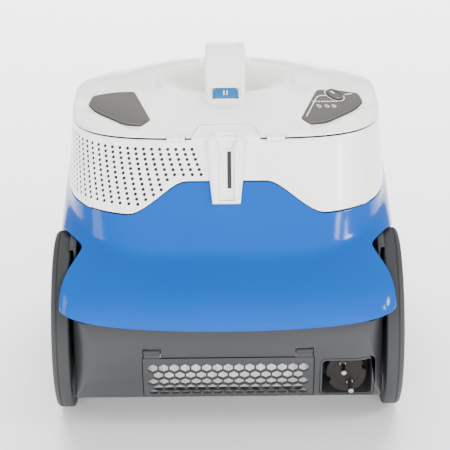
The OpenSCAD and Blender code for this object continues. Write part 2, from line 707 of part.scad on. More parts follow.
trail = 9;
caster_pin_r = 2;
module caster_fork(side) {
    cheek = caster_w/2 + 0.8;
    color("silver") translate([side*caster_x, caster_y, 0]) union() {
        translate([0, 0, base_z - 1]) cylinder(r = stem_r, h = 14);
        translate([0, 0, 2*caster_r + 0.8]) cylinder(r = 13, h = base_z - 0.8 - 2*caster_r - 0.8);
        for (s = [-1, 1]) translate([s*(cheek + 1.2), 0, 0]) side_extrude(2.4)
            polygon([[-trail - 5, caster_r - 5], [-trail + 5, caster_r - 5],
            [8, 2*caster_r + 0.8], [8, 2*caster_r + 2], [-9, 2*caster_r + 2], [-trail - 6, 2*caster_r - 6]]);
        translate([0, -trail, caster_r]) along_x(-cheek - 1) cylinder(r = caster_pin_r, h = 2*cheek + 2);
    }
}
module caster_wheel(side) {
    color("black") translate([side*caster_x, caster_y - trail, caster_r]) along_x(-caster_w/2)
        rotate_extrude() polygon([[caster_pin_r + run, 0], [caster_r - 1.5, 0], [caster_r, 1.5],
        [caster_r, caster_w - 1.5], [caster_r - 1.5, caster_w], [caster_pin_r + run, caster_w]]);
}
module left_caster_fork() { caster_fork(-1); }
module right_caster_fork() { caster_fork(1); }
module left_caster_wheel() { caster_wheel(-1); }
module right_caster_wheel() { caster_wheel(1); }

// ---- lid ----

// Height of the dish's rim: low at the rear, high at the sides and the front
function rim_z(th) = seam_z + 23 + 3*sin(th) + 2*pow(cos(th), 2);
function rim_at(th) = [dish_a*cos(th), dish_y + dish_b*sin(th)];
// Share of the lid's rise that is left at s, which is 0 at the dish's rim and 1 at the outer edge: the
// rear is two flats that meet at a knee, and the front one curve
knee = 0.62;
knee_rise = 0.52;
function rise(th, s) = let(rear = step(0, 0.4, -sin(th)),
    front_rise = 1 - pow(s, 0.9 + 0.9*pow(max(0, sin(th)), 1.5)),
    rear_rise = s < knee ? 1 - (1 - knee_rise)*s/knee : knee_rise*(1 - s)/(1 - knee))
    front_rise + (rear_rise - front_rise)*rear;
// A point on the lid: u below 1 is inside the dish, 1 is its rim, 2 is the outer edge
function lid_at(th, u) = let(e = rim_at(th), zs = seam_at(th), r = skin_r(th, zs),
    o = [r*cos(th), r*sin(th)], s = max(0, u - 1))
    u <= 1 ? [e[0]*u, dish_y + (e[1] - dish_y)*u, rim_z(th) - dish_depth*pow(1 - u*u, 0.7)]
    : [e[0] + (o[0] - e[0])*s, e[1] + (o[1] - e[1])*s, zs + (rim_z(th) - zs)*rise(th, s)
        + 0.8*sin(180*s)];
function lid_steps() = [0.08, 0.5, 0.75, 0.92, 1, 1.06, 1.25, 1.45, 1 + knee, 1.8, 1.94, 2];
function lid_under(th, u) = let(p = lid_at(th, u < 1 ? u : 1 + (u - 1)*0.965)) [p[0], p[1], p[2] - wall];
module lid_skin() {
    steps = lid_steps();
    n = len(steps);
    top = [for (u = steps) [for (th = theta) u < 0.1 ? [lid_at(th, u)[0], lid_at(th, u)[1], seam_z + 23 - dish_depth]
        : lid_at(th, u)]];
    under = [for (k = [n - 1:-1:0]) [for (th = theta) let(p = lid_under(th, steps[k]))
        k == n - 1 ? [p[0], p[1], seam_at(th)]
        : k == 0 ? [p[0], p[1], seam_z + 23 - dish_depth - wall] : p]];
    skin(concat(top, under), true);
}
// Outline of a pedal on the right, from its inner rear corner outward and forward
function pedal_outline(grow) = let(dx = half_w - 145, y = hinge_y + 125.5) [
    [69 + dx - grow, -103 + y - grow], [77 + dx + grow*0.4, -105 + y - grow],
    [92 + dx + grow, -92 + y - grow*0.7], [121 + dx + grow, -51 + y], [128.5 + dx + grow, -33 + y],
    [124.5 + dx + grow, -22.5 + y + grow], [106 + dx, -29 + y + grow], [86 + dx - grow*0.5, -41 + y + grow]];
// Height of the flat plane through three points of the lid under the right-hand pedal
function pedal_top(x, y) = let(a = lid_at(-20, 1.35), b = lid_at(-52, 1.6), c = lid_at(-10, 1.85),
    n = cross(b - a, c - a)) a[2] - (n[0]*(x - a[0]) + n[1]*(y - a[1]))/n[2] + 1.2;
module pedal_slab(grow, z0, z1) {
    translate([0, 0, z0]) linear_extrude(z1 - z0) polygon(pedal_outline(grow));
}
module lid() {
    color("white") difference() {
        lid_skin();
        both_sides() pedal_slab(free, seam_z - 20, seam_z + 60);
        notch_form(notch_gap);
        hinge_room();
        button_room();
    }
}
module pedal(side) {
    o = pedal_outline(0);
    n = len(o);
    mirror([side < 0 ? 1 : 0, 0, 0]) polyhedron(concat([for (p = o) [p[0], p[1], pedal_top(p[0], p[1]) - 7]],
        [for (p = o) [p[0], p[1], pedal_top(p[0], p[1])]]), concat([[for (k = [0:n - 1]) k]],
        [[for (k = [2*n - 1:-1:n]) k]], [for (k = [0:n - 1]) [k, n + k, n + (k + 1)%n, (k + 1)%n]]));
}
module rewind_pedal() { color("silver") pedal(-1); }
knob_x = half_w - 43;
knob_y = hinge_y + 84;
// Slope of the pedal's top along X and Y, for the knob that stands square to it
knob_gx = pedal_top(1, 0) - pedal_top(0, 0);
knob_gy = pedal_top(0, 1) - pedal_top(0, 0);
module knob_place() {
    translate([knob_x, knob_y, pedal_top(knob_x, knob_y)])
        rotate([asin(knob_gy/norm([knob_gx, knob_gy, 1])), -atan(knob_gx), 0]) children();
}
module power_pedal() {
    color("silver") difference() {
        pedal(1);
        knob_place() translate([0, 0, -30]) cylinder(r = 3 + run, h = 60);
    }
}
module power_knob() {
    color("silver") knob_place() union() {
        translate([0, 0, -9]) cylinder(r = 3, h = 11);
        translate([0, 0, 0.8]) cylinder(r = knob_r, h = 1.6);
    }
}
// The handle: a strap over the dish, in Y and Z
handle_rear = [hinge_y + 42, seam_z + 9];
handle_front = [hinge_y + 160, seam_z + 20];
function handle_curve(off, k) = let(t = k/16, y = handle_rear[0] + off*0.9
    + (handle_front[0] - handle_rear[0] - off*2.2)*t) [y, curve([[0, handle_rear[1]],
    [0.13, seam_z + 23], [0.38, top_z - off], [0.62, top_z - 4 - off], [1, handle_front[1]]], t)];
module carry_handle() {
    outer = [for (k = [0:16]) handle_curve(0, k)];
    inner = [for (k = [16:-1:0]) handle_curve(handle_t, k)];
    color("white") difference() {
        side_extrude(handle_w) polygon(concat(outer, inner));
        button_room();
    }
}
// The lid button slides square to the handle's rear slope
module button_place() {
    translate([0, hinge_y + 59, seam_z + 23]) rotate([48, 0, 0]) children();
}
// The pocket in the handle and the lid that the button slides in
module button_room() { button_place() translate([-12.8, -5.8, -6.8]) cube([25.6, 11.6, 40]); }
module lid_button() {
    color("royalblue") button_place() translate([-12, -5, -3.6]) cube([24, 10, 5.4]);
}
module latch_bolt() {
    color("silver") translate([-8, half_l - 96, seam_z - 22]) cube([16, 12, 6]);
}

hinge_x = 45;
leaf_w = 8;
knuckle_r = 2.6;
module hinge_knuckle(x, w, r) { translate([x, hinge_y, hinge_z]) along_x(0) cylinder(r = r, h = w); }
// Room for the knuckles in the shell and the lid, round the pins
module hinge_room() { both_sides() hinge_knuckle(hinge_x - 9, 18, knuckle_r + 0.5); }
module lid_hinge_leaves() {
    color("white") both_sides() difference() {
        union() {
            hinge_knuckle(hinge_x - leaf_w/2, leaf_w, knuckle_r);
            translate([hinge_x - leaf_w/2, hinge_y, hinge_z + 0.6]) cube([leaf_w, 9, 2]);
        }
        hinge_knuckle(hinge_x - leaf_w, 2*leaf_w, pin_r + run);
    }
}
module hinge_brackets() {
    color("white") both_sides() for (s = [-1, 1]) difference() {
        union() {
            hinge_knuckle(hinge_x + s*(leaf_w/2 + 2.2) - 1.9, 3.8, knuckle_r);
            translate([hinge_x + s*(leaf_w/2 + 2.2) - 1.9, hinge_y, hinge_z - 8]) cube([3.8, 2, 7.5]);
        }
        hinge_knuckle(hinge_x + s*(leaf_w/2 + 2.2) - 4, 8, pin_r);
    }
}
module lid_hinge_pins() {
    color("silver") both_sides() hinge_knuckle(hinge_x - leaf_w/2 - 4.1, leaf_w + 8.2, pin_r);
}

base_tub();
hood();
upper_shell();
parking_rail();
inner_deck();
exhaust_filter_frame();
exhaust_filter_media();
plug_recess();
motor_housing();
motor_housing_cover();
motor_mounts();
motor_can();
stator();
fan_cover();
motor_bearings();
carbon_brushes();
intake_duct();
reel_bracket();
rewind_spring_case();
reel_brake();
circuit_board();
power_switch();
water_tank();
tank_cover();
tank_seal();
tank_inlet();
hose_socket();
rear_axles();
hinge_brackets();
lid_hinge_pins();
base_screws();
left_rear_wheel();
left_tyre();
left_hub_cap();
right_rear_wheel();
right_tyre();
right_hub_cap();
left_caster_fork();
left_caster_wheel();
right_caster_fork();
right_caster_wheel();
lid();
carry_handle();
lid_hinge_leaves();
latch_bolt();
lid_button();
rewind_pedal();
power_pedal();
power_knob();
cord_drum();
wound_cord();
plug_body();
plug_pins();
cord_lead();
motor_rotor();
impeller();
exhaust_door();
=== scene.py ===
"""The looks of a canister vacuum cleaner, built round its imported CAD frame.

Sizes are in millimetres while a shape is worked on, and each finished piece is written in metres.
+X is the right-hand side, -Y the rear and +Z up, as in the frame.
"""

import json
import logging
import math
from dataclasses import dataclass
from enum import Enum
from typing import Callable, Iterable, Sequence

import bmesh
import bpy
from mathutils import Matrix, Vector

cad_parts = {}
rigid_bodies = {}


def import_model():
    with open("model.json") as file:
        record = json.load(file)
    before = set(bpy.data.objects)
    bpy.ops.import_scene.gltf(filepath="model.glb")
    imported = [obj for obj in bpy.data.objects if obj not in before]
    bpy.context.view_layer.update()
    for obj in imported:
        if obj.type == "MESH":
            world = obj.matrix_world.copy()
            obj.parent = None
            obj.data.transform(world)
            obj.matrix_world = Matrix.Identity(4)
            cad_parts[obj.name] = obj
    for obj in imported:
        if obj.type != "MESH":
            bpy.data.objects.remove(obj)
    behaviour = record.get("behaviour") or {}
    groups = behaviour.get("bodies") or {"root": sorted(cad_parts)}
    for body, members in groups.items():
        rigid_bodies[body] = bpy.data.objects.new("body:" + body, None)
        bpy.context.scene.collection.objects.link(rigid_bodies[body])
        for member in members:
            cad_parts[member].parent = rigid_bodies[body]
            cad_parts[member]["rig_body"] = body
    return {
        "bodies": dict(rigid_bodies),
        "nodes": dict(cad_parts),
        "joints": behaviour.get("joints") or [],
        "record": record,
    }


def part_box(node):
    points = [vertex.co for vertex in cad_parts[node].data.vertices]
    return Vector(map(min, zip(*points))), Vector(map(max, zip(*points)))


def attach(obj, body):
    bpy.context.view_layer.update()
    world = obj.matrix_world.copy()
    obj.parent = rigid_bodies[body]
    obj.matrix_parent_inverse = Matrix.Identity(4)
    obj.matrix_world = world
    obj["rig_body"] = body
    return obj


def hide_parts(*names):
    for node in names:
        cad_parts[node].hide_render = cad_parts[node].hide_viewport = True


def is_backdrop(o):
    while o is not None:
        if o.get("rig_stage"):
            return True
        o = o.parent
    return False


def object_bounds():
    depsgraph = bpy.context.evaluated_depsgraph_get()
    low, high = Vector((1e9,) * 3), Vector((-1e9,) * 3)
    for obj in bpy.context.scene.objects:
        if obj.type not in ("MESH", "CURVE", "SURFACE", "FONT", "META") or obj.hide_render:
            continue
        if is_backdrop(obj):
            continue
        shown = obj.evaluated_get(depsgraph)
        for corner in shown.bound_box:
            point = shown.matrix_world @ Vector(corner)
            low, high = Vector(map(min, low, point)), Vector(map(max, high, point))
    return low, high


MM = 0.001
LOG = logging.getLogger("vacuum")
Point = tuple[float, float, float]
Colour = tuple[float, float, float]


class Side(Enum):
    """Which side of the machine a handed piece is on."""

    LEFT = -1
    RIGHT = 1

    @property
    def word(self) -> str:
        """The side's name, as the piece names use it."""
        return self.name.lower()


class Grain(Enum):
    """How a finish is worked, which sets the pattern of its bump."""

    MOULDED = "moulded"
    ERODED = "spark eroded"
    BRUSHED = "brushed"
    FIBRE = "fibre"
    WOUND = "wound"


# ---------------------------------------------------------------- finishes


@dataclass(frozen=True)
class Finish:
    """A surface finish, from which one procedural material is made.

    Colours are the display values of the moulded piece, from 0 to 255. Grain and mottle sizes and
    the grain's depth are in millimetres.
    """

    slot: str
    colour: Colour
    roughness: float
    grain: Grain = Grain.MOULDED
    grain_size: float = 3.0
    depth: float = 0.01
    mottle: float = 0.03
    mottle_size: float = 60.0
    spread: float = 0.04
    metallic: float = 0.0
    coat: float = 0.0
    sheen: float = 0.0
    clear: float = 0.0
    specular: float = 0.5

    def linear(self, share: float) -> tuple[float, float, float, float]:
        """The finish's colour as linear light, times share."""
        steps = [c / 255 for c in self.colour]
        light = [s / 12.92 if s <= 0.04045 else ((s + 0.055) / 1.055) ** 2.4 for s in steps]
        return (*(min(1.0, c * share) for c in light), 1.0)

    def material(self) -> bpy.types.Material:
        """Makes the finish's material, or returns the one made before.

        Returns:
            A material whose colour, roughness and bump come from noise on Object coordinates.
        """
        name = f"{self.slot}_{round(self.colour[0])}_{round(self.colour[2])}"
        found = bpy.data.materials.get(name)
        if found:
            return found
        made = bpy.data.materials.new(name)
        made.use_nodes = True
        tree = made.node_tree
        tree.nodes.clear()
        output = tree.nodes.new("ShaderNodeOutputMaterial")
        shader = tree.nodes.new("ShaderNodeBsdfPrincipled")
        tree.links.new(shader.outputs["BSDF"], output.inputs["Surface"])
        coords = tree.nodes.new("ShaderNodeTexCoord")
        place = tree.nodes.new("ShaderNodeMapping")
        place.inputs["Scale"].default_value = (1, 1, 12) if self.grain is Grain.BRUSHED else (1, 1, 1)
        tree.links.new(coords.outputs["Object"], place.inputs["Vector"])
        broad = self._noise(tree, coords.outputs["Object"], self.mottle_size, 3)
        self._colour(tree, shader, broad)
        self._gloss(tree, shader, broad)
        self._bump(tree, shader, place)
        shader.inputs["Metallic"].default_value = self.metallic
        shader.inputs["Specular IOR Level"].default_value = self.specular
        shader.inputs["Coat Weight"].default_value = self.coat
        shader.inputs["Coat Roughness"].default_value = 0.04
        shader.inputs["Sheen Weight"].default_value = self.sheen
        shader.inputs["Transmission Weight"].default_value = self.clear
        return made

    def _noise(self, tree: bpy.types.NodeTree, vector: bpy.types.NodeSocket, size: float,
               detail: float) -> bpy.types.Node:
        """Adds a noise whose patches are size millimetres across.

        Args:
            tree: The material's node tree.
            vector: The coordinates that it reads.
            size: Size of a patch.
            detail: Number of finer layers.

        Returns:
            The noise node.
        """
        noise = tree.nodes.new("ShaderNodeTexNoise")
        noise.inputs["Scale"].default_value = 1 / (size * MM)
        noise.inputs["Detail"].default_value = detail
        tree.links.new(vector, noise.inputs["Vector"])
        return noise

    def _colour(self, tree: bpy.types.NodeTree, shader: bpy.types.Node, broad: bpy.types.Node) -> None:
        """Mixes a darker and a lighter tone of the colour by the broad noise."""
        mix = tree.nodes.new("ShaderNodeMix")
        mix.data_type = "RGBA"
        mix.inputs["A"].default_value = self.linear(1 - self.mottle)
        mix.inputs["B"].default_value = self.linear(1 + self.mottle)
        tree.links.new(broad.outputs["Fac"], mix.inputs["Factor"])
        tree.links.new(mix.outputs["Result"], shader.inputs["Base Color"])

    def _gloss(self, tree: bpy.types.NodeTree, shader: bpy.types.Node, broad: bpy.types.Node) -> None:
        """Lets the roughness wander about its value by the broad noise."""
        span = tree.nodes.new("ShaderNodeMapRange")
        span.inputs["To Min"].default_value = max(0.02, self.roughness - self.spread)
        span.inputs["To Max"].default_value = self.roughness + self.spread
        tree.links.new(broad.outputs["Fac"], span.inputs["Value"])
        tree.links.new(span.outputs["Result"], shader.inputs["Roughness"])

    def _bump(self, tree: bpy.types.NodeTree, shader: bpy.types.Node, place: bpy.types.Node) -> None:
        """Adds the grain as a bump: rings for a winding, cells for an eroded mould, noise otherwise."""
        bump = tree.nodes.new("ShaderNodeBump")
        bump.inputs["Distance"].default_value = self.depth * MM
        if self.grain is Grain.WOUND:
            grain = tree.nodes.new("ShaderNodeTexWave")
            grain.inputs["Scale"].default_value = 1 / (self.grain_size * MM * 3)
            grain.inputs["Distortion"].default_value = 0.6
            tree.links.new(place.outputs["Vector"], grain.inputs["Vector"])
            height = grain.outputs["Fac"]
        elif self.grain is Grain.ERODED:
            grain = tree.nodes.new("ShaderNodeTexVoronoi")
            grain.inputs["Scale"].default_value = 1 / (self.grain_size * MM)
            tree.links.new(place.outputs["Vector"], grain.inputs["Vector"])
            height = grain.outputs["Distance"]
        else:
            layers = 6 if self.grain is Grain.FIBRE else 2
            height = self._noise(tree, place.outputs["Vector"], self.grain_size, layers).outputs["Fac"]
        tree.links.new(height, bump.inputs["Height"])
        tree.links.new(bump.outputs["Normal"], shader.inputs["Normal"])


HOOD_BLUE = Finish("hood_blue", (0, 68, 148), 0.14, coat=0.1, depth=0.004, grain_size=6, specular=0.2)
SHELL_WHITE = Finish("shell_white", (238, 238, 235), 0.22, coat=0.3, depth=0.004, grain_size=6, mottle=0.01)
TUB_GREY = Finish("tub_grey", (44, 45, 47), 0.5, Grain.ERODED, 0.5, 0.03)
INNER_GREY = Finish("inner_grey", (60, 61, 63), 0.48, Grain.ERODED, 0.5, 0.03)
# very dark grey for the pedals' sides: painted shade where the silver would catch light
PEDAL_SIDE_SHADE = Finish("inner_grey", (40, 40, 39), 0.45, depth=0.01)
WHEEL_GREY = Finish("wheel_grey", (38, 39, 40), 0.42, Grain.ERODED, 0.6, 0.03)
TYRE = Finish("tyre", (42, 43, 44), 0.62, depth=0.03, grain_size=0.8, mottle=0.06)
RUBBER = Finish("rubber", (20, 20, 21), 0.7, depth=0.03, grain_size=0.8, mottle=0.08)
FILTER_WHITE = Finish("filter_white", (232, 233, 228), 0.85, Grain.FIBRE, 0.6, 0.08, sheen=0.2)
STEEL = Finish("steel", (176, 178, 180), 0.28, Grain.BRUSHED, 2.0, 0.01, metallic=1)
ALUMINIUM = Finish("aluminium", (205, 206, 208), 0.32, Grain.BRUSHED, 1.6, 0.01, metallic=1)
COPPER = Finish("copper", (190, 108, 62), 0.34, Grain.WOUND, 0.7, 0.25, metallic=1, mottle=0.08)
BLACK_PLASTIC = Finish("black_plastic", (28, 25, 23), 0.4, depth=0.01, grain_size=0.7, specular=0.25)
CORD_BLACK = Finish("cord_black", (32, 32, 33), 0.55, Grain.WOUND, 2.1, 1.2, mottle=0.08)
BOARD_GREEN = Finish("board_green", (28, 92, 52), 0.4, Grain.ERODED, 2.2, 0.12, mottle=0.12, mottle_size=7)
TANK_CLEAR = Finish("tank_clear", (176, 190, 200), 0.14, clear=0.75, depth=0.01, grain_size=8)
SILVER = Finish("silver_paint", (92, 90, 86), 0.34, grain_size=0.4, depth=0.01, metallic=0.45, coat=0.1)
BUTTON_BLUE = Finish("button_blue", (22, 92, 148), 0.3, depth=0.01, grain_size=1.2)
FINISHES = {f.slot: f for f in (
    HOOD_BLUE, SHELL_WHITE, TUB_GREY, INNER_GREY, WHEEL_GREY, TYRE, RUBBER, FILTER_WHITE, STEEL,
    ALUMINIUM, COPPER, BLACK_PLASTIC, CORD_BLACK, BOARD_GREEN, TANK_CLEAR, SILVER, BUTTON_BLUE)}


# ---------------------------------------------------------------- mesh tools


def box_mm(node: str) -> tuple[Vector, Vector]:
    """A CAD node's lowest and highest corner, in millimetres."""
    low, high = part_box(node)
    return low / MM, high / MM


def centre_mm(node: str) -> Vector:
    """The middle of a CAD node's box, in millimetres."""
    low, high = box_mm(node)
    return (low + high) / 2


def smooth_step(a: float, b: float, x: float) -> float:
    """A smooth rise from 0 at a to 1 at b."""
    t = min(1.0, max(0.0, (x - a) / (b - a)))
    return t * t * (3 - 2 * t)


def curve(points: Sequence[tuple[float, float]], x: float) -> float:
    """A smooth curve through points, read at x.

    Args:
        points: Pairs of a place and a value, in rising order of place.
        x: Where the curve is read.

    Returns:
        The value there.
    """
    last = len(points) - 1
    i = max(0, min(last - 1, sum(1 for p in points[1:] if x >= p[0])))

    def slope(k: int) -> float:
        """The curve's slope at point k."""
        a, b = points[max(0, k - 1)], points[min(last, k + 1)]
        return (b[1] - a[1]) / (b[0] - a[0])

    h = points[i + 1][0] - points[i][0]
    t = min(1.0, max(0.0, (x - points[i][0]) / h))
    return (points[i][1] * (2 * t**3 - 3 * t**2 + 1) + h * slope(i) * (t**3 - 2 * t**2 + t)
            + points[i + 1][1] * (3 * t**2 - 2 * t**3) + h * slope(i + 1) * (t**3 - t**2))


def grid(columns: int, rows: int, place: Callable[[float, float], Point]) -> bmesh.types.BMesh:
    """A grid sheet laid on a surface, its meeting edges and poles closed and its faces turned out.

    Args:
        columns: Number of faces along the first direction.
        rows: Number of faces along the second.
        place: Gives the point for two shares, each from 0 to 1.

    Returns:
        The sheet.
    """
    bm = bmesh.new()
    bmesh.ops.create_grid(bm, x_segments=columns, y_segments=rows, size=0.5)
    for v in bm.verts:
        v.co = place(min(1.0, max(0.0, v.co.x + 0.5)), min(1.0, max(0.0, v.co.y + 0.5)))
    bmesh.ops.remove_doubles(bm, verts=bm.verts, dist=0.002)
    bmesh.ops.dissolve_degenerate(bm, edges=bm.edges, dist=0.0005)
    bmesh.ops.recalc_face_normals(bm, faces=bm.faces)
    return bm


def face_away(bm: bmesh.types.BMesh, centre: Point) -> bmesh.types.BMesh:
    """Turns an open sheet so that most of its faces look away from centre."""
    middle = Vector(centre)
    outward = sum((f.calc_center_median() - middle).dot(f.normal) * f.calc_area() for f in bm.faces)
    if outward < 0:
        bmesh.ops.reverse_faces(bm, faces=bm.faces)
    return bm


def prism(outline: Iterable[tuple[float, float]], low: float, high: float) -> bmesh.types.BMesh:
    """A flat outline in X and Y, drawn up from low to high."""
    bm = bmesh.new()
    face = bm.faces.new([bm.verts.new((x, y, low)) for x, y in outline])
    made = bmesh.ops.extrude_face_region(bm, geom=[face])
    tops = [g for g in made["geom"] if isinstance(g, bmesh.types.BMVert)]
    bmesh.ops.translate(bm, verts=tops, vec=(0, 0, high - low))
    bmesh.ops.recalc_face_normals(bm, faces=bm.faces)
    return bm


def rounded_box(size: Point, radius: float, segments: int = 3) -> bmesh.types.BMesh:
    """A box about the origin with every edge rounded."""
    bm = bmesh.new()
    bmesh.ops.create_cube(bm, size=1.0)
    bmesh.ops.scale(bm, vec=size, verts=bm.verts)
    bmesh.ops.bevel(bm, geom=bm.edges[:], offset=radius, segments=segments, profile=0.5, affect="EDGES",
                    clamp_overlap=True, material=-1)
    return bm


def lathe(profile: Iterable[tuple[float, float]], steps: int) -> bmesh.types.BMesh:
    """A closed profile of radius and height pairs, spun about Z."""
    bm = bmesh.new()
    verts = [bm.verts.new((r, 0, h)) for r, h in profile]
    edges = [bm.edges.new((a, b)) for a, b in zip(verts, verts[1:] + verts[:1])]
    bmesh.ops.spin(bm, geom=verts + edges, cent=(0, 0, 0), axis=(0, 0, 1), angle=2 * math.pi,
                   steps=steps, use_merge=True, use_normal_flip=False)
    bmesh.ops.remove_doubles(bm, verts=bm.verts, dist=0.002)
    bmesh.ops.recalc_face_normals(bm, faces=bm.faces)
    return bm


def rod(radius: float, length: float, segments: int, place: Matrix = Matrix(),
        bm: bmesh.types.BMesh | None = None) -> bmesh.types.BMesh:
    """A cylinder along local Z about a place, added to bm where one is given."""
    bm = bm or bmesh.new()
    bmesh.ops.create_cone(bm, cap_ends=True, segments=segments, radius1=radius, radius2=radius, depth=length,
                          matrix=place)
    return bm


def upright(least: float) -> Callable[[bmesh.types.BMEdge], bool]:
    """A test for edges that rise by more than least."""
    return lambda edge: abs(edge.verts[0].co.z - edge.verts[1].co.z) > least


def soften(bm: bmesh.types.BMesh, width: float, corner: float = 35, segments: int = 2,
           pick: Callable[[bmesh.types.BMEdge], bool] = lambda edge: True) -> bmesh.types.BMesh:
    """Rounds the edges that are sharper than corner degrees.

    Args:
        bm: The mesh, which is changed.
        width: Width of the rounding.
        corner: Angle from which an edge counts as sharp.
        segments: Number of faces across the rounding.
        pick: Says whether a sharp edge takes part.

    Returns:
        The same mesh.
    """
    sharp = [e for e in bm.edges if len(e.link_faces) == 2
             and e.calc_face_angle(0) > math.radians(corner) and pick(e)]
    if sharp:
        bmesh.ops.bevel(bm, geom=sharp, offset=width, segments=segments, profile=0.5, affect="EDGES",
                        clamp_overlap=False, material=-1)
    return bm


def moved(bm: bmesh.types.BMesh, matrix: Matrix) -> bmesh.types.BMesh:
    """Transforms a mesh and mends its normals where the matrix mirrors it."""
    bmesh.ops.transform(bm, matrix=matrix, verts=bm.verts)
    if matrix.determinant() < 0:
        bmesh.ops.reverse_faces(bm, faces=bm.faces)
    return bm


def joined(*parts: bmesh.types.BMesh) -> bmesh.types.BMesh:
    """Several meshes put together as one, which stay separate shells."""
    bm = bmesh.new()
    for part in parts:
        mesh = bpy.data.meshes.new("part")
        part.to_mesh(mesh)
        bm.from_mesh(mesh)
        bpy.data.meshes.remove(mesh)
        part.free()
    return bm


def loose_object(bm: bmesh.types.BMesh) -> bpy.types.Object:
    """A working object for modifiers, still in millimetres."""
    mesh = bpy.data.meshes.new("work")
    bm.to_mesh(mesh)
    bm.free()
    made = bpy.data.objects.new("work", mesh)
    bpy.context.scene.collection.objects.link(made)
    return made


def baked(work: bpy.types.Object) -> bmesh.types.BMesh:
    """The working object's mesh with its modifiers applied; the object is removed."""
    bpy.context.view_layer.update()
    shown = work.evaluated_get(bpy.context.evaluated_depsgraph_get())
    mesh = bpy.data.meshes.new_from_object(shown)
    bm = bmesh.new()
    bm.from_mesh(mesh)
    bpy.data.meshes.remove(mesh)
    old = work.data
    bpy.data.objects.remove(work)
    bpy.data.meshes.remove(old)
    return bm


def walled(bm: bmesh.types.BMesh, wall: float, edge: float) -> bmesh.types.BMesh:
    """Gives an open sheet a wall on its inner side, and rounds the edges of the rim.

    Args:
        bm: The sheet, its faces turned out.
        wall: Thickness of the wall.
        edge: Width of the rounding.

    Returns:
        The closed shell.
    """
    work = loose_object(bm)
    solid = work.modifiers.new("wall", "SOLIDIFY")
    solid.thickness, solid.offset, solid.use_even_offset = wall, -1, True
    rim = work.modifiers.new("rim", "BEVEL")
    rim.width, rim.segments, rim.limit_method, rim.angle_limit = edge, 3, "ANGLE", math.radians(50)
    return baked(work)


def carved(bm: bmesh.types.BMesh, cutter: bmesh.types.BMesh, keep: str = "DIFFERENCE") -> bmesh.types.BMesh:
    """One mesh less another, or what they have in common or together, by keep."""
    work, tool = loose_object(bm), loose_object(cutter)
    cut = work.modifiers.new("cut", "BOOLEAN")
    cut.object, cut.operation, cut.solver = tool, keep, "MANIFOLD"
    made = baked(work)
    old = tool.data
    bpy.data.objects.remove(tool)
    bpy.data.meshes.remove(old)
    return made


def ribbon(path: Sequence[Vector], width: float, height: float, up: Vector) -> bmesh.types.BMesh:
    """A flat strip of print or trim along a path.

    Args:
        path: The middle line.
        width: Width of the strip.
        height: How far it stands up.
        up: The direction square to the strip.

    Returns:
        The strip as a closed mesh.
    """
    bm = bmesh.new()
    last = len(path) - 1
    rows = []
    for i, p in enumerate(path):
        along = (path[min(last, i + 1)] - path[max(0, i - 1)]).normalized()
        side = along.cross(up).normalized() * width / 2
        rows.append([bm.verts.new(p - side), bm.verts.new(p + side)])
    faces = [bm.faces.new((a[0], a[1], b[1], b[0])) for a, b in zip(rows, rows[1:])]
    made = bmesh.ops.extrude_face_region(bm, geom=faces)
    bmesh.ops.translate(bm, verts=[g for g in made["geom"] if isinstance(g, bmesh.types.BMVert)],
                        vec=up * height)
    bmesh.ops.recalc_face_normals(bm, faces=bm.faces)
    return bm


def piece(name: str, bm: bmesh.types.BMesh, body: str, finish: Finish, nodes: Sequence[str] = (),
          corner: float = 32) -> bpy.types.Object:
    """Writes a mesh as a finished piece in metres, dresses it and puts it on its body.

    Args:
        name: The piece's name.
        bm: Its mesh in millimetres, which is freed.
        body: The CAD body that it rides on.
        finish: Its finish.
        nodes: CAD nodes that it stands for.
        corner: Angle in degrees from which an edge is shaded sharp.

    Returns:
        The object.
    """
    bmesh.ops.scale(bm, vec=(MM, MM, MM), verts=bm.verts)
    mesh = bpy.data.meshes.new(name)
    bm.to_mesh(mesh)
    bm.free()
    mesh.materials.append(finish.material())
    mesh.polygons.foreach_set("use_smooth", [True] * len(mesh.polygons))
    mesh.set_sharp_from_angle(angle=math.radians(corner))
    made = bpy.data.objects.new(name, mesh)
    bpy.context.scene.collection.objects.link(made)
    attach(made, body)
    if nodes:
        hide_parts(*nodes)
    LOG.info("%s: %d faces on %s", name, len(mesh.polygons), body)
    return made


# ---------------------------------------------------------------- the body's form


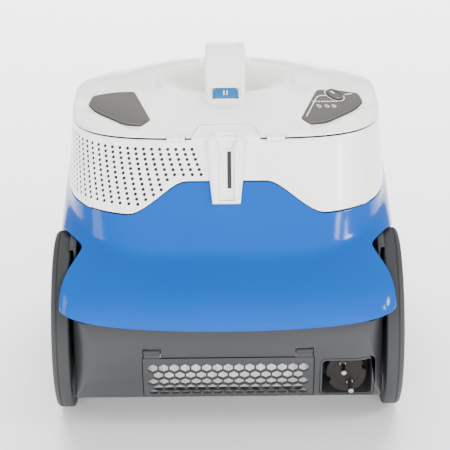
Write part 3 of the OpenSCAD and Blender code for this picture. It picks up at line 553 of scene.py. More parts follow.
@dataclass(frozen=True)
class BodyForm:
    """The outside of the body, as the CAD design draws it: a body and a skirt, blended at a crease."""

    half_w: float
    half_l: float
    base_z: float
    lip_z: float
    seam_z: float
    hinge_y: float
    top_z: float
    axle: Vector
    wheel_r: float
    flare: float = 9.5
    seam_gap: float = 0.55
    wall: float = 3.0
    dish_back: float = 113.0
    dish_up: float = 23.0
    dish_a: float = 60.0
    dish_b: float = 37.0
    knee: float = 0.62
    knee_height: float = 0.52

    @classmethod
    def from_frame(cls) -> "BodyForm":
        """Reads the driving sizes off the frame's boxes."""
        tub_low = box_mm("base_tub")[0]
        hood_low = box_mm("hood")[0]
        tyre_low, tyre_high = box_mm("right_tyre")
        pins = centre_mm("lid_hinge_pins")
        top = box_mm("carry_handle")[1].z
        return cls(round(tyre_low.x) + 4, 15 - round(tub_low.y), tub_low.z, round(hood_low.z),
                   round(pins.z, 1), round(pins.y, 1), top, (tyre_low + tyre_high) / 2,
                   (tyre_high.z - tyre_low.z) / 2)

    def plan(self, th: float, a: float, b: float, n: float, bow: float = 0) -> float:
        """Radius of a rounded rectangle, its ends bowed, its corners sharper as n grows."""
        c, s = abs(math.cos(th)), abs(math.sin(th))
        k = bow * c * c
        side = a / max(c, 1e-6)
        end = b / max(s, 1e-6) if k < 1e-9 else (math.sqrt(s * s + 4 * k * b) - s) / (2 * k)
        return (side**-n + end**-n) ** (-1 / n)

    def body_r(self, th: float, z: float) -> float:
        """Radius of the upright body at an angle and a height."""
        w, l, lip = self.half_w, self.half_l, self.lip_z
        half = curve([(lip, w - 5), (lip + 47, w + 2), (lip + 77, w + 3), (self.seam_z, w - 1)], z)
        if math.sin(th) < 0:
            rear = [(lip, l - 30), (lip + 47, l - 54), (lip + 77, l - 74), (self.seam_z, l - 110)]
            return self.plan(th, half, curve(rear, z), 4)
        front = [(lip, l - 12), (lip + 77, l - 25), (self.seam_z, l - 75)]
        return self.plan(th, half, curve(front, z), 2.8)

    def skirt_r(self, th: float, z: float) -> float:
        """Radius of the skirt over the wheels at an angle and a height."""
        w, l, lip = self.half_w, self.half_l, self.lip_z
        half = curve([(lip, w + self.flare), (lip + 30, w + self.flare), (lip + 55, w + self.flare - 2),
                      (lip + 77, w + 4), (lip + 92, w - 8)], z)
        if math.sin(th) < 0:
            rear = [(lip, l), (lip + 15, l - 7), (lip + 30, l - 23), (lip + 47, l - 54), (lip + 77, l - 125)]
            corner = [(lip, 18), (lip + 35, 16), (lip + 50, 9), (lip + 77, 4.5)]
            return self.plan(th, half, curve(rear, z), curve(corner, z), 0.0005)
        front = [(lip, l), (lip + 30, l - 5), (lip + 77, l - 28), (lip + 107, l - 70), (self.seam_z, l - 110)]
        return self.plan(th, half, curve(front, z), 3)

    def skin_r(self, th: float, z: float) -> float:
        """Radius of the outside: the larger of body and skirt, blended over a narrow crease."""
        a, b = self.body_r(th, z), self.skirt_r(th, z)
        m = max(a, b)
        return m * ((a / m) ** 50 + (b / m) ** 50) ** (1 / 50)

    def skin(self, th: float, z: float, inset: float = 0) -> Point:
        """A point on the outside, or inset behind it."""
        r = self.skin_r(th, z) - inset
        return (r * math.cos(th), r * math.sin(th), z)

    def skirt_low(self, th: float) -> float:
        """Height of the skirt's lower edge: the wheel arch, and a level lip elsewhere."""
        z = self.lip_z + 16
        arch_r = self.wheel_r + 4.2
        for _ in range(8):
            r = self.skin_r(th, z)
            away = abs(r * math.sin(th) - self.axle.y)
            arch = self.axle.z + math.sqrt(arch_r**2 - away**2) if away < arch_r else 0
            out = abs(r * math.cos(th) / self.half_w)
            z = max(self.lip_z + 3.5 * out**2 + 5.5 * out**6, arch)
        return z

    def wave(self, th: float) -> float:
        """Height of the line where the skirt meets the upper shell."""
        wave_z, plateau = self.lip_z + 79, self.seam_z - 34
        if math.sin(th) >= 0:
            return wave_z
        x = abs(self.skin_r(th, plateau) * math.cos(th))
        return wave_z + (plateau - wave_z) * (1 - smooth_step(36, 82, x))

    def seam(self, th: float) -> float:
        """Height of the seam under the lid: level at the rear, falling to the nose."""
        z = self.seam_z
        for _ in range(6):
            y = self.skin_r(th, z) * math.sin(th)
            z = self.seam_z - 28 * smooth_step(self.hinge_y + 115, self.half_l - 20, y)
        return z

    def dish_middle(self) -> Vector:
        """The middle of the dish under the handle, at the height of its rim."""
        return Vector((0, self.hinge_y + self.dish_back, self.seam_z + self.dish_up))

    def rim(self, th: float) -> Vector:
        """A point on the rim of the dish."""
        middle = self.dish_middle()
        return middle + Vector((self.dish_a * math.cos(th), self.dish_b * math.sin(th),
                                3 * math.sin(th) + 2 * math.cos(th) ** 2))

    def lid_edge(self, th: float) -> Vector:
        """A point on the lid's outer edge."""
        return Vector(self.skin(th, self.seam(th)))

    def angles(self, count: int, z: float, low: float = 0.0, high: float = 2 * math.pi) -> list[float]:
        """Angles round the body, spread by length and by how much the outline turns.

        Args:
            count: Number of steps.
            z: Height at which the outline is measured.
            low: First angle.
            high: Last angle.

        Returns:
            count + 1 angles from low to high.
        """
        fine = [low + (high - low) * i / 1440 for i in range(1441)]
        points = [Vector(self.skin(th, z)).xy for th in fine]
        steps = [b - a for a, b in zip(points, points[1:])]
        total = sum(s.length for s in steps)
        cost, costs = 0.0, [0.0]
        for i, s in enumerate(steps):
            turn = abs(s.angle_signed(steps[i - 1])) if i else 0.0
            cost += s.length / total + turn / math.pi
            costs.append(cost)
        spread, k = [], 0
        for i in range(count + 1):
            want = costs[-1] * i / count
            while k < len(fine) - 2 and costs[k + 1] < want:
                k += 1
            share = (want - costs[k]) / max(1e-9, costs[k + 1] - costs[k])
            spread.append(fine[k] + (fine[k + 1] - fine[k]) * min(1.0, share))
        return spread


# ---------------------------------------------------------------- sub-assemblies


@dataclass(frozen=True)
class Placed:
    """A place square to a surface: a point and the direction that stands up from it."""

    point: Vector
    up: Vector

    def matrix(self) -> Matrix:
        """The matrix that puts local Z on the direction and the origin on the point."""
        return Matrix.Translation(self.point) @ self.up.to_track_quat("Z", "Y").to_matrix().to_4x4()

    def height(self, x: float, y: float) -> float:
        """Height of the plane square to the direction, over x and y."""
        away = (x - self.point.x) * self.up.x + (y - self.point.y) * self.up.y
        return self.point.z - away / self.up.z


def joint_place(frame: dict, name: str) -> Placed:
    """Where a joint of the frame turns, in millimetres, and its axis."""
    joint = next(j for j in frame["joints"] if j["name"] == name)
    return Placed(Vector(joint["pos_m"]) / MM, Vector(joint["axis"]).normalized())


def refined(frame: dict, node: str, finish: Finish, width: float = 0.5, corner: float = 40,
            segments: int = 2) -> bpy.types.Object:
    """A finer copy of a CAD node, its loose triangles merged and its edges rounded.

    Args:
        frame: The loaded frame.
        node: The node's name.
        finish: The copy's finish.
        width: Width of the rounding.
        corner: Angle from which an edge is rounded.
        segments: Faces across the rounding.

    Returns:
        The new piece, which stands for the node.
    """
    source = frame["nodes"][node]
    bm = bmesh.new()
    bm.from_mesh(source.data)
    bmesh.ops.scale(bm, vec=(1 / MM,) * 3, verts=bm.verts)
    bmesh.ops.remove_doubles(bm, verts=bm.verts, dist=0.002)
    bmesh.ops.dissolve_limit(bm, angle_limit=math.radians(0.5), verts=bm.verts, edges=bm.edges)
    soften(bm, width, corner, segments)
    return piece(node + "_form", bm, source["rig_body"], finish, (node,), 36)


@dataclass
class Shells:
    """The blue hood, the white shell over it, its vents, and the rail that a floor tool hangs in."""

    form: BodyForm
    columns: int = 400
    hood_rows: int = 46
    shell_rows: int = 30
    hole_r: float = 1.6
    hole_pitch: float = 7.3
    hole_row: float = 4.0
    hole_shift: float = 1.95
    rail_length: float = 66.0
    lid_gap: float = 0.9

    def build(self) -> None:
        """Builds every shell."""
        self.hood()
        self.upper_shell()
        self.liner()
        self.rail()

    def band(self, low: Callable[[float], float], high: Callable[[float], float], rows: int,
             inset: float = 0) -> bmesh.types.BMesh:
        """A closed band of the outside between two heights that vary round the body."""
        form = self.form
        ths = form.angles(self.columns, form.lip_z + 40)

        def place(u: float, v: float) -> Point:
            """A point of the band."""
            th = ths[round(u * self.columns)]
            if u >= 1:
                th = ths[0]
            bottom = low(th)
            return form.skin(th, bottom + (high(th) - bottom) * v, inset)

        return face_away(grid(self.columns, rows, place), (0, 0, form.wave(0)))

    def hood(self) -> None:
        """The skirt, with its wheel arches and the opening for the hose at the nose."""
        form = self.form
        shell = walled(self.band(form.skirt_low, lambda th: form.wave(th) - form.seam_gap,
                                 self.hood_rows), form.wall, 0.8)
        low, high = box_mm("hose_socket")
        place = Matrix.Translation((0, high.y, (low.z + high.z) / 2)) @ Matrix.Rotation(math.pi / 2, 4, "X")
        bore = rod((high.x - low.x) / 2 + 0.6, 120, 96, place)
        piece("hood_shell", carved(shell, bore), "chassis", HOOD_BLUE, ("hood",), 38)

    def upper_shell(self) -> None:
        """The white shell, with the hinge gaps and the vent holes on the left of the rear."""
        form = self.form
        shell = walled(self.band(lambda th: form.wave(th) + form.seam_gap,
                                 lambda th: form.seam(th) - self.lid_gap, self.shell_rows), form.wall, 0.7)
        shell = carved(shell, self.hinge_room())
        shell = carved(shell, self.pins(self.hole_r, 11, 0))
        piece("upper_shell_skin", shell, "chassis", SHELL_WHITE, ("upper_shell",), 38)

    def hinge_room(self) -> bmesh.types.BMesh:
        """The room round the two hinge knuckles."""
        high = box_mm("lid_hinge_leaves")[1]
        bm = bmesh.new()
        for side in Side:
            knuckle = Matrix.Translation((side.value * (high.x - 4), self.form.hinge_y, self.form.seam_z))
            rod(3.1, 18, 32, knuckle @ Matrix.Rotation(math.pi / 2, 4, "Y"), bm)
        return bm

    def hole_places(self) -> list[tuple[float, float]]:
        """Angle and height of each vent hole, in slanting columns from the rail to the left."""
        form = self.form
        top = form.seam_z - 8.5
        ths = [math.radians(-90 - 0.1 * i) for i in range(950)]
        points = [Vector(form.skin(th, top)).xy for th in ths]
        walk, run = [0.0], 0.0
        for a, b in zip(points, points[1:]):
            run += (b - a).length
            walk.append(run)

        def at_length(s: float) -> float:
            """The angle that lies s along the outline from the middle of the rear."""
            k = max(1, min(len(walk) - 1, next((i for i, w in enumerate(walk) if w >= s), len(walk) - 1)))
            share = (s - walk[k - 1]) / max(1e-6, walk[k] - walk[k - 1])
            return ths[k - 1] + (ths[k] - ths[k - 1]) * share

        found = []
        for column in range(27):
            for row in range(15):
                th = at_length(30.5 + self.hole_pitch * column - self.hole_shift * row)
                z = top - self.hole_row * row
                if z > form.wave(th) + 5 and abs(form.skin(th, z)[0]) > 20.5:
                    found.append((th, z))
        return found

    def pins(self, radius: float, length: float, out_by: float) -> bmesh.types.BMesh:
        """A pin in every vent hole, square to the shell.

        Args:
            radius: Radius of a pin.
            length: Length of a pin.
            out_by: How far its middle lies outside the surface.

        Returns:
            The pins as one mesh.
        """
        form = self.form
        bm = bmesh.new()
        for th, z in self.hole_places():
            here = Vector(form.skin(th, z))
            along = Vector(form.skin(th + 0.004, z)) - Vector(form.skin(th - 0.004, z))
            upward = Vector(form.skin(th, z + 0.5)) - Vector(form.skin(th, z - 0.5))
            out = along.cross(upward).normalized()
            turn = out.to_track_quat("Z", "Y").to_matrix().to_4x4()
            rod(radius, length, 14, Matrix.Translation(here + out * out_by) @ turn, bm)
        return bm

    def liner(self) -> None:
        """The dark foam liner that lies behind the vent holes, with dark plugs in the holes that are painted
        shade.
        """
        form = self.form
        places = self.hole_places()
        first, last = max(p[0] for p in places) + 0.05, min(p[0] for p in places) - 0.05

        def place(u: float, v: float) -> Point:
            """A point of the foam."""
            th = first + (last - first) * u
            low = form.wave(th) + 2.5
            return form.skin(th, low + (form.seam_z - 5 - low) * v, form.wall + 0.25)

        sheet = face_away(grid(90, 12, place), (0, 0, form.wave(0)))
        # dark plugs nearly flush inside the holes: painted shade for the holes' depth
        pins = self.pins(self.hole_r - 0.03, form.wall, -form.wall / 2 - 0.35)
        piece("vent_foam", joined(walled(sheet, 1.6, 0.3), pins), "chassis", RUBBER)

    def rail_matrix(self) -> Matrix:
        """The rail's place: X across, Y up the sloping rear and Z out of it."""
        form = self.form
        lean = math.atan(36 / (form.seam_z - form.lip_z - 77))
        return (Matrix.Translation((0, form.hinge_y + 0.5, form.seam_z)) @ Matrix.Rotation(-lean, 4, "X")
                @ Matrix.Rotation(math.pi / 2, 4, "X"))

    def rail(self) -> None:
        """The parking rail with its channel, pocket and slot, and the hump that closes the lid's notch."""
        end = 6 - self.rail_length
        outline = [(-12, 6), (-18.5, -5), (-12.5, end), (12.5, end), (18.5, -5), (12, 6)]
        body = soften(prism(outline, -0.2, 7.8), 3.2, segments=1,
                      pick=lambda e: min(v.co.z for v in e.verts) > 7)
        body = carved(body, prism([(-7.5, end + 2), (7.5, end + 2), (7.5, 12), (-7.5, 12)], 2.5, 20))
        body = carved(body, self.slot_prism(0.1, 0.8, 20))
        body = carved(body, rod(10.2, 20, 64, Matrix.Translation((0, -0.5, 11.2))))
        soften(body, 0.5, 40, 2)
        moved(body, self.rail_matrix())
        piece("parking_rail_body", joined(body, self.hump()), "chassis", SHELL_WHITE, ("parking_rail",), 30)
        # dark floor just inside the shallow slot: painted shade for the slot's depth
        slot = soften(self.slot_prism(0, 0.5, 1.1), 0.15, 50)
        piece("parking_rail_slot", moved(slot, self.rail_matrix()), "chassis", TUB_GREY)

    def slot_prism(self, grow: float, low: float, high: float) -> bmesh.types.BMesh:
        """The narrow slot in the rail's channel, or the dark floor in it that is painted shade."""
        left, right, foot, head = 1.0 - grow, 4.5 + grow, -45.9 - grow, -12.1 + grow
        return prism([(left, foot), (right, foot), (right, head), (left, head)], low, high)

    def notch(self, radius: float, grow: float) -> bmesh.types.BMesh:
        """A barrel about the hinge line, narrower towards the front."""
        form = self.form
        barrel = rod(radius, 72, 128, Matrix.Translation((0, form.hinge_y, form.seam_z))
                     @ Matrix.Rotation(math.pi / 2, 4, "Y"))
        back, turn, tip = form.hinge_y - 24, form.hinge_y - 3, form.hinge_y + 22
        plan = prism([(-32 - grow, back), (32 + grow, back), (32 + grow, turn), (21.3 + grow, tip),
                      (-21.3 - grow, tip), (-32 - grow, turn)], form.seam_z - 30, form.seam_z + 30)
        rises = upright(20)
        plan = soften(plan, 7, 20, 5, lambda e: rises(e) and abs(e.verts[0].co.x) > 20
                      and e.verts[0].co.y > back + 1)
        return carved(barrel, plan, "INTERSECT")

    def hump(self) -> bmesh.types.BMesh:
        """The hump that closes the lid's notch, its top in line with the lid."""
        form = self.form
        y, z = form.hinge_y, form.seam_z
        side = prism([(y - 2.3, z - 1), (y - 2.3, z + 0.6), (y - 1.6, z + 1.9), (y - 0.4, z + 2.7),
                      (y + 21, z + 8.8), (y + 21, z - 1)], -40, 40)
        moved(side, Matrix(((0, 0, 1, 0), (1, 0, 0, 0), (0, 1, 0, 0), (0, 0, 0, 1))))
        return soften(carved(self.notch(18.4, 0), side, "INTERSECT"), 0.5, 50, 2)


@dataclass
class Lid:
    """The hinged lid with its dish, the carry handle over it and the lid button."""

    form: BodyForm
    panel: Placed
    shells: Shells
    pedal: "Pedals"
    columns: int = 400
    wall: float = 2.8
    dish_depth: float = 24.0
    collar: float = 6.5
    handle_w: float = 37.0
    handle_t: float = 13.0

    def build(self) -> None:
        """Builds the lid, the handle and the button."""
        self.cover()
        self.handle()
        self.button()

    def rim(self, th: float) -> Vector:
        """A point on the dish's rim, whose near side is squarer than an ellipse."""
        form = self.form
        n = 2 + 0.9 * smooth_step(0.0, 0.5, -math.sin(th))
        k = (abs(math.cos(th)) ** n + abs(math.sin(th)) ** n) ** (-1 / n)
        point = form.rim(th)
        middle = form.dish_middle().y
        return Vector((point.x * k, middle + (point.y - middle) * k, point.z))

    def facet(self, p: Vector) -> Vector:
        """Lowers a point near a pedal to the flat that the pedal lies in."""
        low_side = smooth_step(-4, 14, (abs(p.x) - 100) * 0.8 - (p.y + 64) * 0.6)
        level = self.panel.height(abs(p.x), p.y) - 0.7 - 2.3 * low_side
        away = self.pedal.outside(abs(p.x), p.y)
        share = 1 - smooth_step(3.0, 13.0, away)
        return Vector((p.x, p.y, p.z + (level - p.z) * share if abs(p.x) > 50 else p.z))

    def top(self, th: float, u: float) -> Point:
        """A point on the lid: u below 1 is in the dish, 1 is its rim and 2 the outer edge."""
        form = self.form
        rim = self.rim(th)
        middle = form.dish_middle()
        if u <= 1:
            flat = middle + (rim - middle) * u
            floor = middle.z + (rim.z - middle.z) * u * u - self.dish_depth * (1 - u * u) ** 0.7
            return (flat.x, flat.y, floor - 0.9 * max(0.0, 1 - (1 - u) * 22) ** 2)
        s = min(1.0, u - 1)
        edge = form.lid_edge(th)
        share = smooth_step(0.0, 0.4, -math.sin(th))
        front = 1 - s ** (0.9 + 0.9 * max(0.0, math.sin(th)) ** 1.5)
        rear = (1 - (1 - form.knee_height) * s / form.knee if s < form.knee
                else form.knee_height * (1 - s) / (1 - form.knee))
        fall = front + (rear - front) * share
        flat = rim + (edge - rim) * s
        collar = self.collar * smooth_step(-0.98, -0.2, math.sin(th))
        z = edge.z + (rim.z - collar - edge.z) * fall + 0.8 * math.sin(math.pi * s)
        z += 2.4 * smooth_step(0.6, 0.97, s) + collar * (1 - smooth_step(0.012, 0.075, s))
        z -= 0.9 * max(0.0, 1 - s * 22) ** 2
        p = self.facet(Vector((flat.x, flat.y, z)))
        turn = max(0.0, (s - 0.968) / 0.032)
        p.z -= 1.9 * (1 - math.sqrt(max(0.0, 1 - turn * turn)))
        return tuple(p)

    def cover(self) -> None:
        """The lid's skin, with the pedals' openings, the notch round the hump and the hinge gaps."""
        form = self.form
        ths = form.angles(self.columns, form.seam_z)
        dish = [0, 0.2, 0.4, 0.55, 0.68, 0.78, 0.86, 0.92, 0.955, 0.975, 0.988]
        slope = [1, 1.012, 1.025, 1.045, 1.08] + [1.08 + 0.84 * k / 34 for k in range(1, 35)]
        rows = dish + slope + [1.94, 1.955, 1.968, 1.978, 1.986, 1.992, 1.997, 2.0]

        def place(u: float, v: float) -> Point:
            """A point of the skin; the last row is the foot of the turned edge."""
            th = ths[0] if u >= 1 else ths[round(u * self.columns)]
            k = round(v * len(rows))
            if k < len(rows):
                return self.top(th, rows[k])
            edge = form.lid_edge(th)
            return (edge.x, edge.y, edge.z + 0.4)

        skin = face_away(grid(self.columns, len(rows), place), (0, 0, form.seam_z - 150))
        shell = walled(skin, self.wall, 0.5)
        for side in Side:
            hole = prism([(side.value * x, y) for x, y in self.pedal.outline(0.9)], form.seam_z - 40,
                         form.seam_z + 60)
            shell = carved(shell, hole)
        shell = carved(shell, self.shells.notch(19.5, 1.1))
        shell = carved(shell, self.shells.hinge_room())
        shell = carved(shell, self.button_pocket())
        piece("lid_skin", shell, "lid_assembly", SHELL_WHITE, ("lid",), 34)

    def strap(self, off: float, t: float) -> Vector:
        """A point on the handle's outer face, or on its inner face where off is the thickness."""
        form = self.form
        rear_y, front_y = form.hinge_y + 42, form.hinge_y + 160
        y = rear_y + off * 0.9 + (front_y - rear_y - off * 2.2) * t
        z = curve([(0, form.seam_z + 9), (0.13, form.seam_z + 23), (0.38, form.top_z - off),
                   (0.62, form.top_z - 4 - off), (1, form.seam_z + 20)], t)
        foot = max(0.0, 1 - t / 0.1) ** 2 * (1 - off / self.handle_t)
        y, z = y - 6 * foot, min(z + 3 * foot, form.top_z - off)
        return Vector((0, y, z))

    def section(self, t: float) -> list[Vector]:
        """The handle's section at a share of its length: a rounded bar with a shallow recess on top."""
        outer, inner = self.strap(0, t), self.strap(self.handle_t, t)
        up = (outer - inner).normalized()
        depth = (outer - inner).length
        middle = (outer + inner) / 2
        below = max(0.0, 1 - max(0.0, outer.z - self.form.seam_z - 13.5) / 8) if t < 0.3 else 0
        half = self.handle_w / 2 - 6.5 * (1 - math.sqrt(max(0.0, 1 - below * below)))
        half += 8 * smooth_step(0.74, 1.0, t)
        dip = 1.1 * smooth_step(0.1, 0.125, t) * (1 - smooth_step(0.5, 0.53, t))
        r = 3.6
        ring = []
        for quarter in range(4):
            for k in range(5):
                a = math.radians(90 * quarter + 22.5 * k)
                x = (half - r) * (1 if quarter in (0, 3) else -1) + r * math.cos(a)
                z = (depth / 2 - r) * (1 if quarter < 2 else -1) + r * math.sin(a)
                ring.append((x, z))
            if quarter == 0:
                ring += [(half - 4.2, depth / 2), (half - 4.8, depth / 2 - dip), (0, depth / 2 - dip),
                         (4.8 - half, depth / 2 - dip), (4.2 - half, depth / 2)]
        return [middle + Vector((x, 0, 0)) + up * z for x, z in ring]

    def handle(self) -> None:
        """The strap handle, which rises from the lid's rear over the dish to its front."""
        count, rows = 25, 96
        sections = [self.section(k / rows) for k in range(rows + 1)]

        def place(u: float, v: float) -> Point:
            """A point of the strap."""
            return tuple(sections[round(v * rows)][round(u * count) % count])

        bm = grid(count, rows, place)
        bmesh.ops.holes_fill(bm, edges=[e for e in bm.edges if e.is_boundary])
        bmesh.ops.recalc_face_normals(bm, faces=bm.faces)
        bm = carved(bm, self.button_pocket())
        piece("carry_handle_strap", bm, "lid_assembly", SHELL_WHITE, ("carry_handle",), 28)

    def button_matrix(self) -> Matrix:
        """The lid button's place, square to the handle's rear slope."""
        form = self.form
        return (Matrix.Translation((0, form.hinge_y + 59, form.seam_z + 23))
                @ Matrix.Rotation(math.radians(48), 4, "X"))

    def button_pocket(self) -> bmesh.types.BMesh:
        """The room in the handle and the lid that the button slides in."""
        bm = rounded_box((25.4, 11.4, 46.8), 1.0, 2)
        return moved(bm, self.button_matrix() @ Matrix.Translation((0, 0, 16.6)))

    def button(self) -> None:
        """The button, its face crowned and marked with two plain bars."""
        bm = prism([(-12, -5), (12, -5), (12, 5), (-12, 5)], -3.6, 1.8)
        soften(bm, 3.8, 50, 6, upright(3))
        soften(bm, 0.9, 60, 3, lambda e: min(v.co.z for v in e.verts) > 1)
        bmesh.ops.triangulate(bm, faces=[f for f in bm.faces if len(f.verts) > 8])
        for v in bm.verts:
            if v.co.z > 1.2:
                v.co.z += 0.55 * (1 - (v.co.x / 12) ** 2) * (1 - (v.co.y / 5) ** 2)
        moved(bm, self.button_matrix())
        piece("lid_button_cap", bm, "button", BUTTON_BLUE, ("lid_button",), 40)
        place = self.button_matrix()
        up = place.to_3x3() @ Vector((0, 0, 1))
        bars = [ribbon([place @ Vector((x, -2.2, 1.95)), place @ Vector((x, 2.2, 1.95))], 0.9, 0.35, up)
                for x in (-1.4, 1.4)]
        piece("lid_button_mark", joined(*bars), "button", SHELL_WHITE)


@dataclass
class Pedals:
    """The two silver pedals on the lid, the ring knob on the right one and its plain markings."""

    form: BodyForm
    panel: Placed
    thickness: float = 7.0
    knob_r: float = 8.0

    def outline(self, grow: float = 0) -> list[tuple[float, float]]:
        """Outline of the right-hand pedal, with rounded corners, grown by a gap."""
        dx, dy = self.form.half_w - 145, self.form.hinge_y + 125.5
        corners = [(69, -103, 4), (77, -105, 4), (92, -92, 12), (121, -51, 20), (128.5, -34, 5),
                   (125, -22.5, 5), (106, -29, 30), (86, -41, 6)]
        points = []
        for i, (x, y, r) in enumerate(corners):
            before, after = Vector(corners[i - 1][:2]), Vector(corners[(i + 1) % len(corners)][:2])
            here = Vector((x, y))
            a, b = (before - here), (after - here)
            cut = min(r * 0.5, a.length * 0.45, b.length * 0.45)
            start, end = here + a.normalized() * cut, here + b.normalized() * cut
            for k in range(5):
                t = k / 4
                p = start * (1 - t) ** 2 + here * 2 * t * (1 - t) + end * t * t
                points.append(p + Vector((dx, dy)))
        if not grow:
            return [tuple(p) for p in points]
        grown = []
        for i, p in enumerate(points):
            along = (points[(i + 1) % len(points)] - points[i - 1]).normalized()
            grown.append(tuple(p + Vector((along.y, -along.x)) * grow))
        return grown

    def outside(self, x: float, y: float) -> float:
        """How far a point lies outside the pedal; 0 on it."""
        points = [Vector(p) for p in self.outline()]
        here = Vector((x, y))
        inside, nearest = False, 1e9
        for a, b in zip(points, points[1:] + points[:1]):
            step = b - a
            t = min(1.0, max(0.0, (here - a).dot(step) / max(1e-9, step.length_squared)))
            nearest = min(nearest, (here - a - step * t).length)
            if (a.y > y) != (b.y > y) and x < a.x + (y - a.y) * step.x / step.y:
                inside = not inside
        return 0.0 if inside else nearest

    def on_panel(self, x: float, y: float, lift: float = 0.0) -> Vector:
        """The point of the right-hand pedal's top over x and y."""
        return Vector((x, y, self.panel.height(x, y))) + self.panel.up * lift

    def plate(self, side: Side) -> bmesh.types.BMesh:
        """One pedal: a slab along the lid's slope, its top edge rounded."""
        level = self.panel.height
        bm = prism(self.outline(), 0, 1)
        for v in bm.verts:
            v.co.z = level(v.co.x, v.co.y) - self.thickness * (1 - v.co.z)

        def at_top(e: bmesh.types.BMEdge) -> bool:
            """Whether the edge lies round the top."""
            return all(v.co.z > level(v.co.x, v.co.y) - 0.5 for v in e.verts)

        bmesh.ops.recalc_face_normals(bm, faces=bm.faces)
        soften(bm, 1.1, 50, 3, at_top)
        if side is Side.LEFT:
            moved(bm, Matrix.Diagonal((-1, 1, 1, 1)))
        return bm

    def build(self) -> None:
        """Builds the pedals, the knob and the markings."""
        piece("rewind_pedal_plate", self.plate(Side.LEFT), "rewind_control", SILVER, ("rewind_pedal",), 30)
        power = carved(self.plate(Side.RIGHT), self.stem_room())
        piece("power_pedal_plate", power, "power_control", SILVER, ("power_pedal",), 30)
        self.knob()
        self.painted_shade_sides()
        self.markings()

    def knob(self) -> None:
        """The knob: a stem, a disc with a raised ring and grip notches, and a pointer."""
        r = self.knob_r
        bm = lathe([(0, -8), (2.9, -8), (2.9, 0.4), (r - 0.5, 0.4), (r, 0.9), (r, 1.7), (r - 0.6, 2.3),
                    (r - 1.5, 2.3), (r - 2.2, 1.3), (0, 1.3)], 72)
        piece("power_knob_ring", moved(bm, self.panel.matrix()), "knob", SILVER, ("power_knob",), 34)
        place, up = self.panel.matrix(), self.panel.up
        pointer = ribbon([place @ Vector((0.0, 0.6, 1.3)), place @ Vector((0.0, 5.2, 1.3))], 1.3, 0.4, up)
        piece("power_knob_pointer", pointer, "knob", SHELL_WHITE)

    def stem_room(self) -> bmesh.types.BMesh:
        """The hole in the power pedal that the knob's stem turns in."""
        return moved(lathe([(0, -12), (3.3, -12), (3.3, 6), (0, 6)], 32), self.panel.matrix())

    def loop(self, middle: Vector, radius: float, angles: Iterable[float]) -> list[Vector]:
        """Points of a circle that lies along the panel."""
        up = self.panel.up
        across = (self.panel.matrix().to_3x3() @ Vector((1, 0, 0))).normalized()
        back = up.cross(across).normalized()
        return [middle + (across * math.cos(a) + back * math.sin(a)) * radius for a in angles]

    def painted_shade_sides(self) -> None:
        """The dark flanks under the pedals' silver tops, whose dark is painted shade."""
        for side, body in ((Side.LEFT, "rewind_control"), (Side.RIGHT, "power_control")):
            bm = prism(self.outline(0.04), 0, 1)
            for v in bm.verts:
                v.co.z = self.panel.height(v.co.x, v.co.y) - 1.15 - 5.2 * (1 - v.co.z)
            moved(bm, Matrix.Diagonal((side.value, 1, 1, 1)))
            if side is Side.RIGHT:
                bm = carved(bm, self.stem_room())
            # the flank's dark finish is painted shade along the pedal's side
            piece(body + "_flank", bm, body, PEDAL_SIDE_SHADE, (), 30)

    def markings(self) -> None:
        """Plain marks: a line that meets the knob's ring, three small rings and a row of ticks."""
        up = self.panel.up
        line = [(73.5, -97), (78.5, -79), (83.5, -60), (86, -53.5), (90, -49.5), (93, -48)]
        rest = [(112, -34.5), (119, -28)]
        parts = [ribbon([self.on_panel(x, y, 0.02) for x, y in path], 0.7, 0.14, up)
                 for path in (line, rest)]
        gap_ring = [2 * math.pi * k / 40 for k in range(4, 37)]
        round_knob = self.loop(self.panel.point + up * 0.02, self.knob_r + 1.7, gap_ring)
        parts.append(ribbon(round_knob, 0.7, 0.16, up))
        full_ring = [2 * math.pi * k / 14 for k in range(15)]
        for x, y in ((86.2, -71.1), (93.8, -66.4), (100.5, -62.2)):
            parts.append(ribbon(self.loop(self.on_panel(x, y, 0.02), 1.9, full_ring), 0.6, 0.16, up))
        for k in range(9):
            x, y = 80.5 + 2.7 * k, -66.5 + 1.7 * k
            parts.append(ribbon([self.on_panel(x, y, 0.02), self.on_panel(x + 1.5, y + 0.95, 0.02)], 1.1,
                                0.16, up))
        piece("power_pedal_marks", joined(*parts), "power_control", SHELL_WHITE)


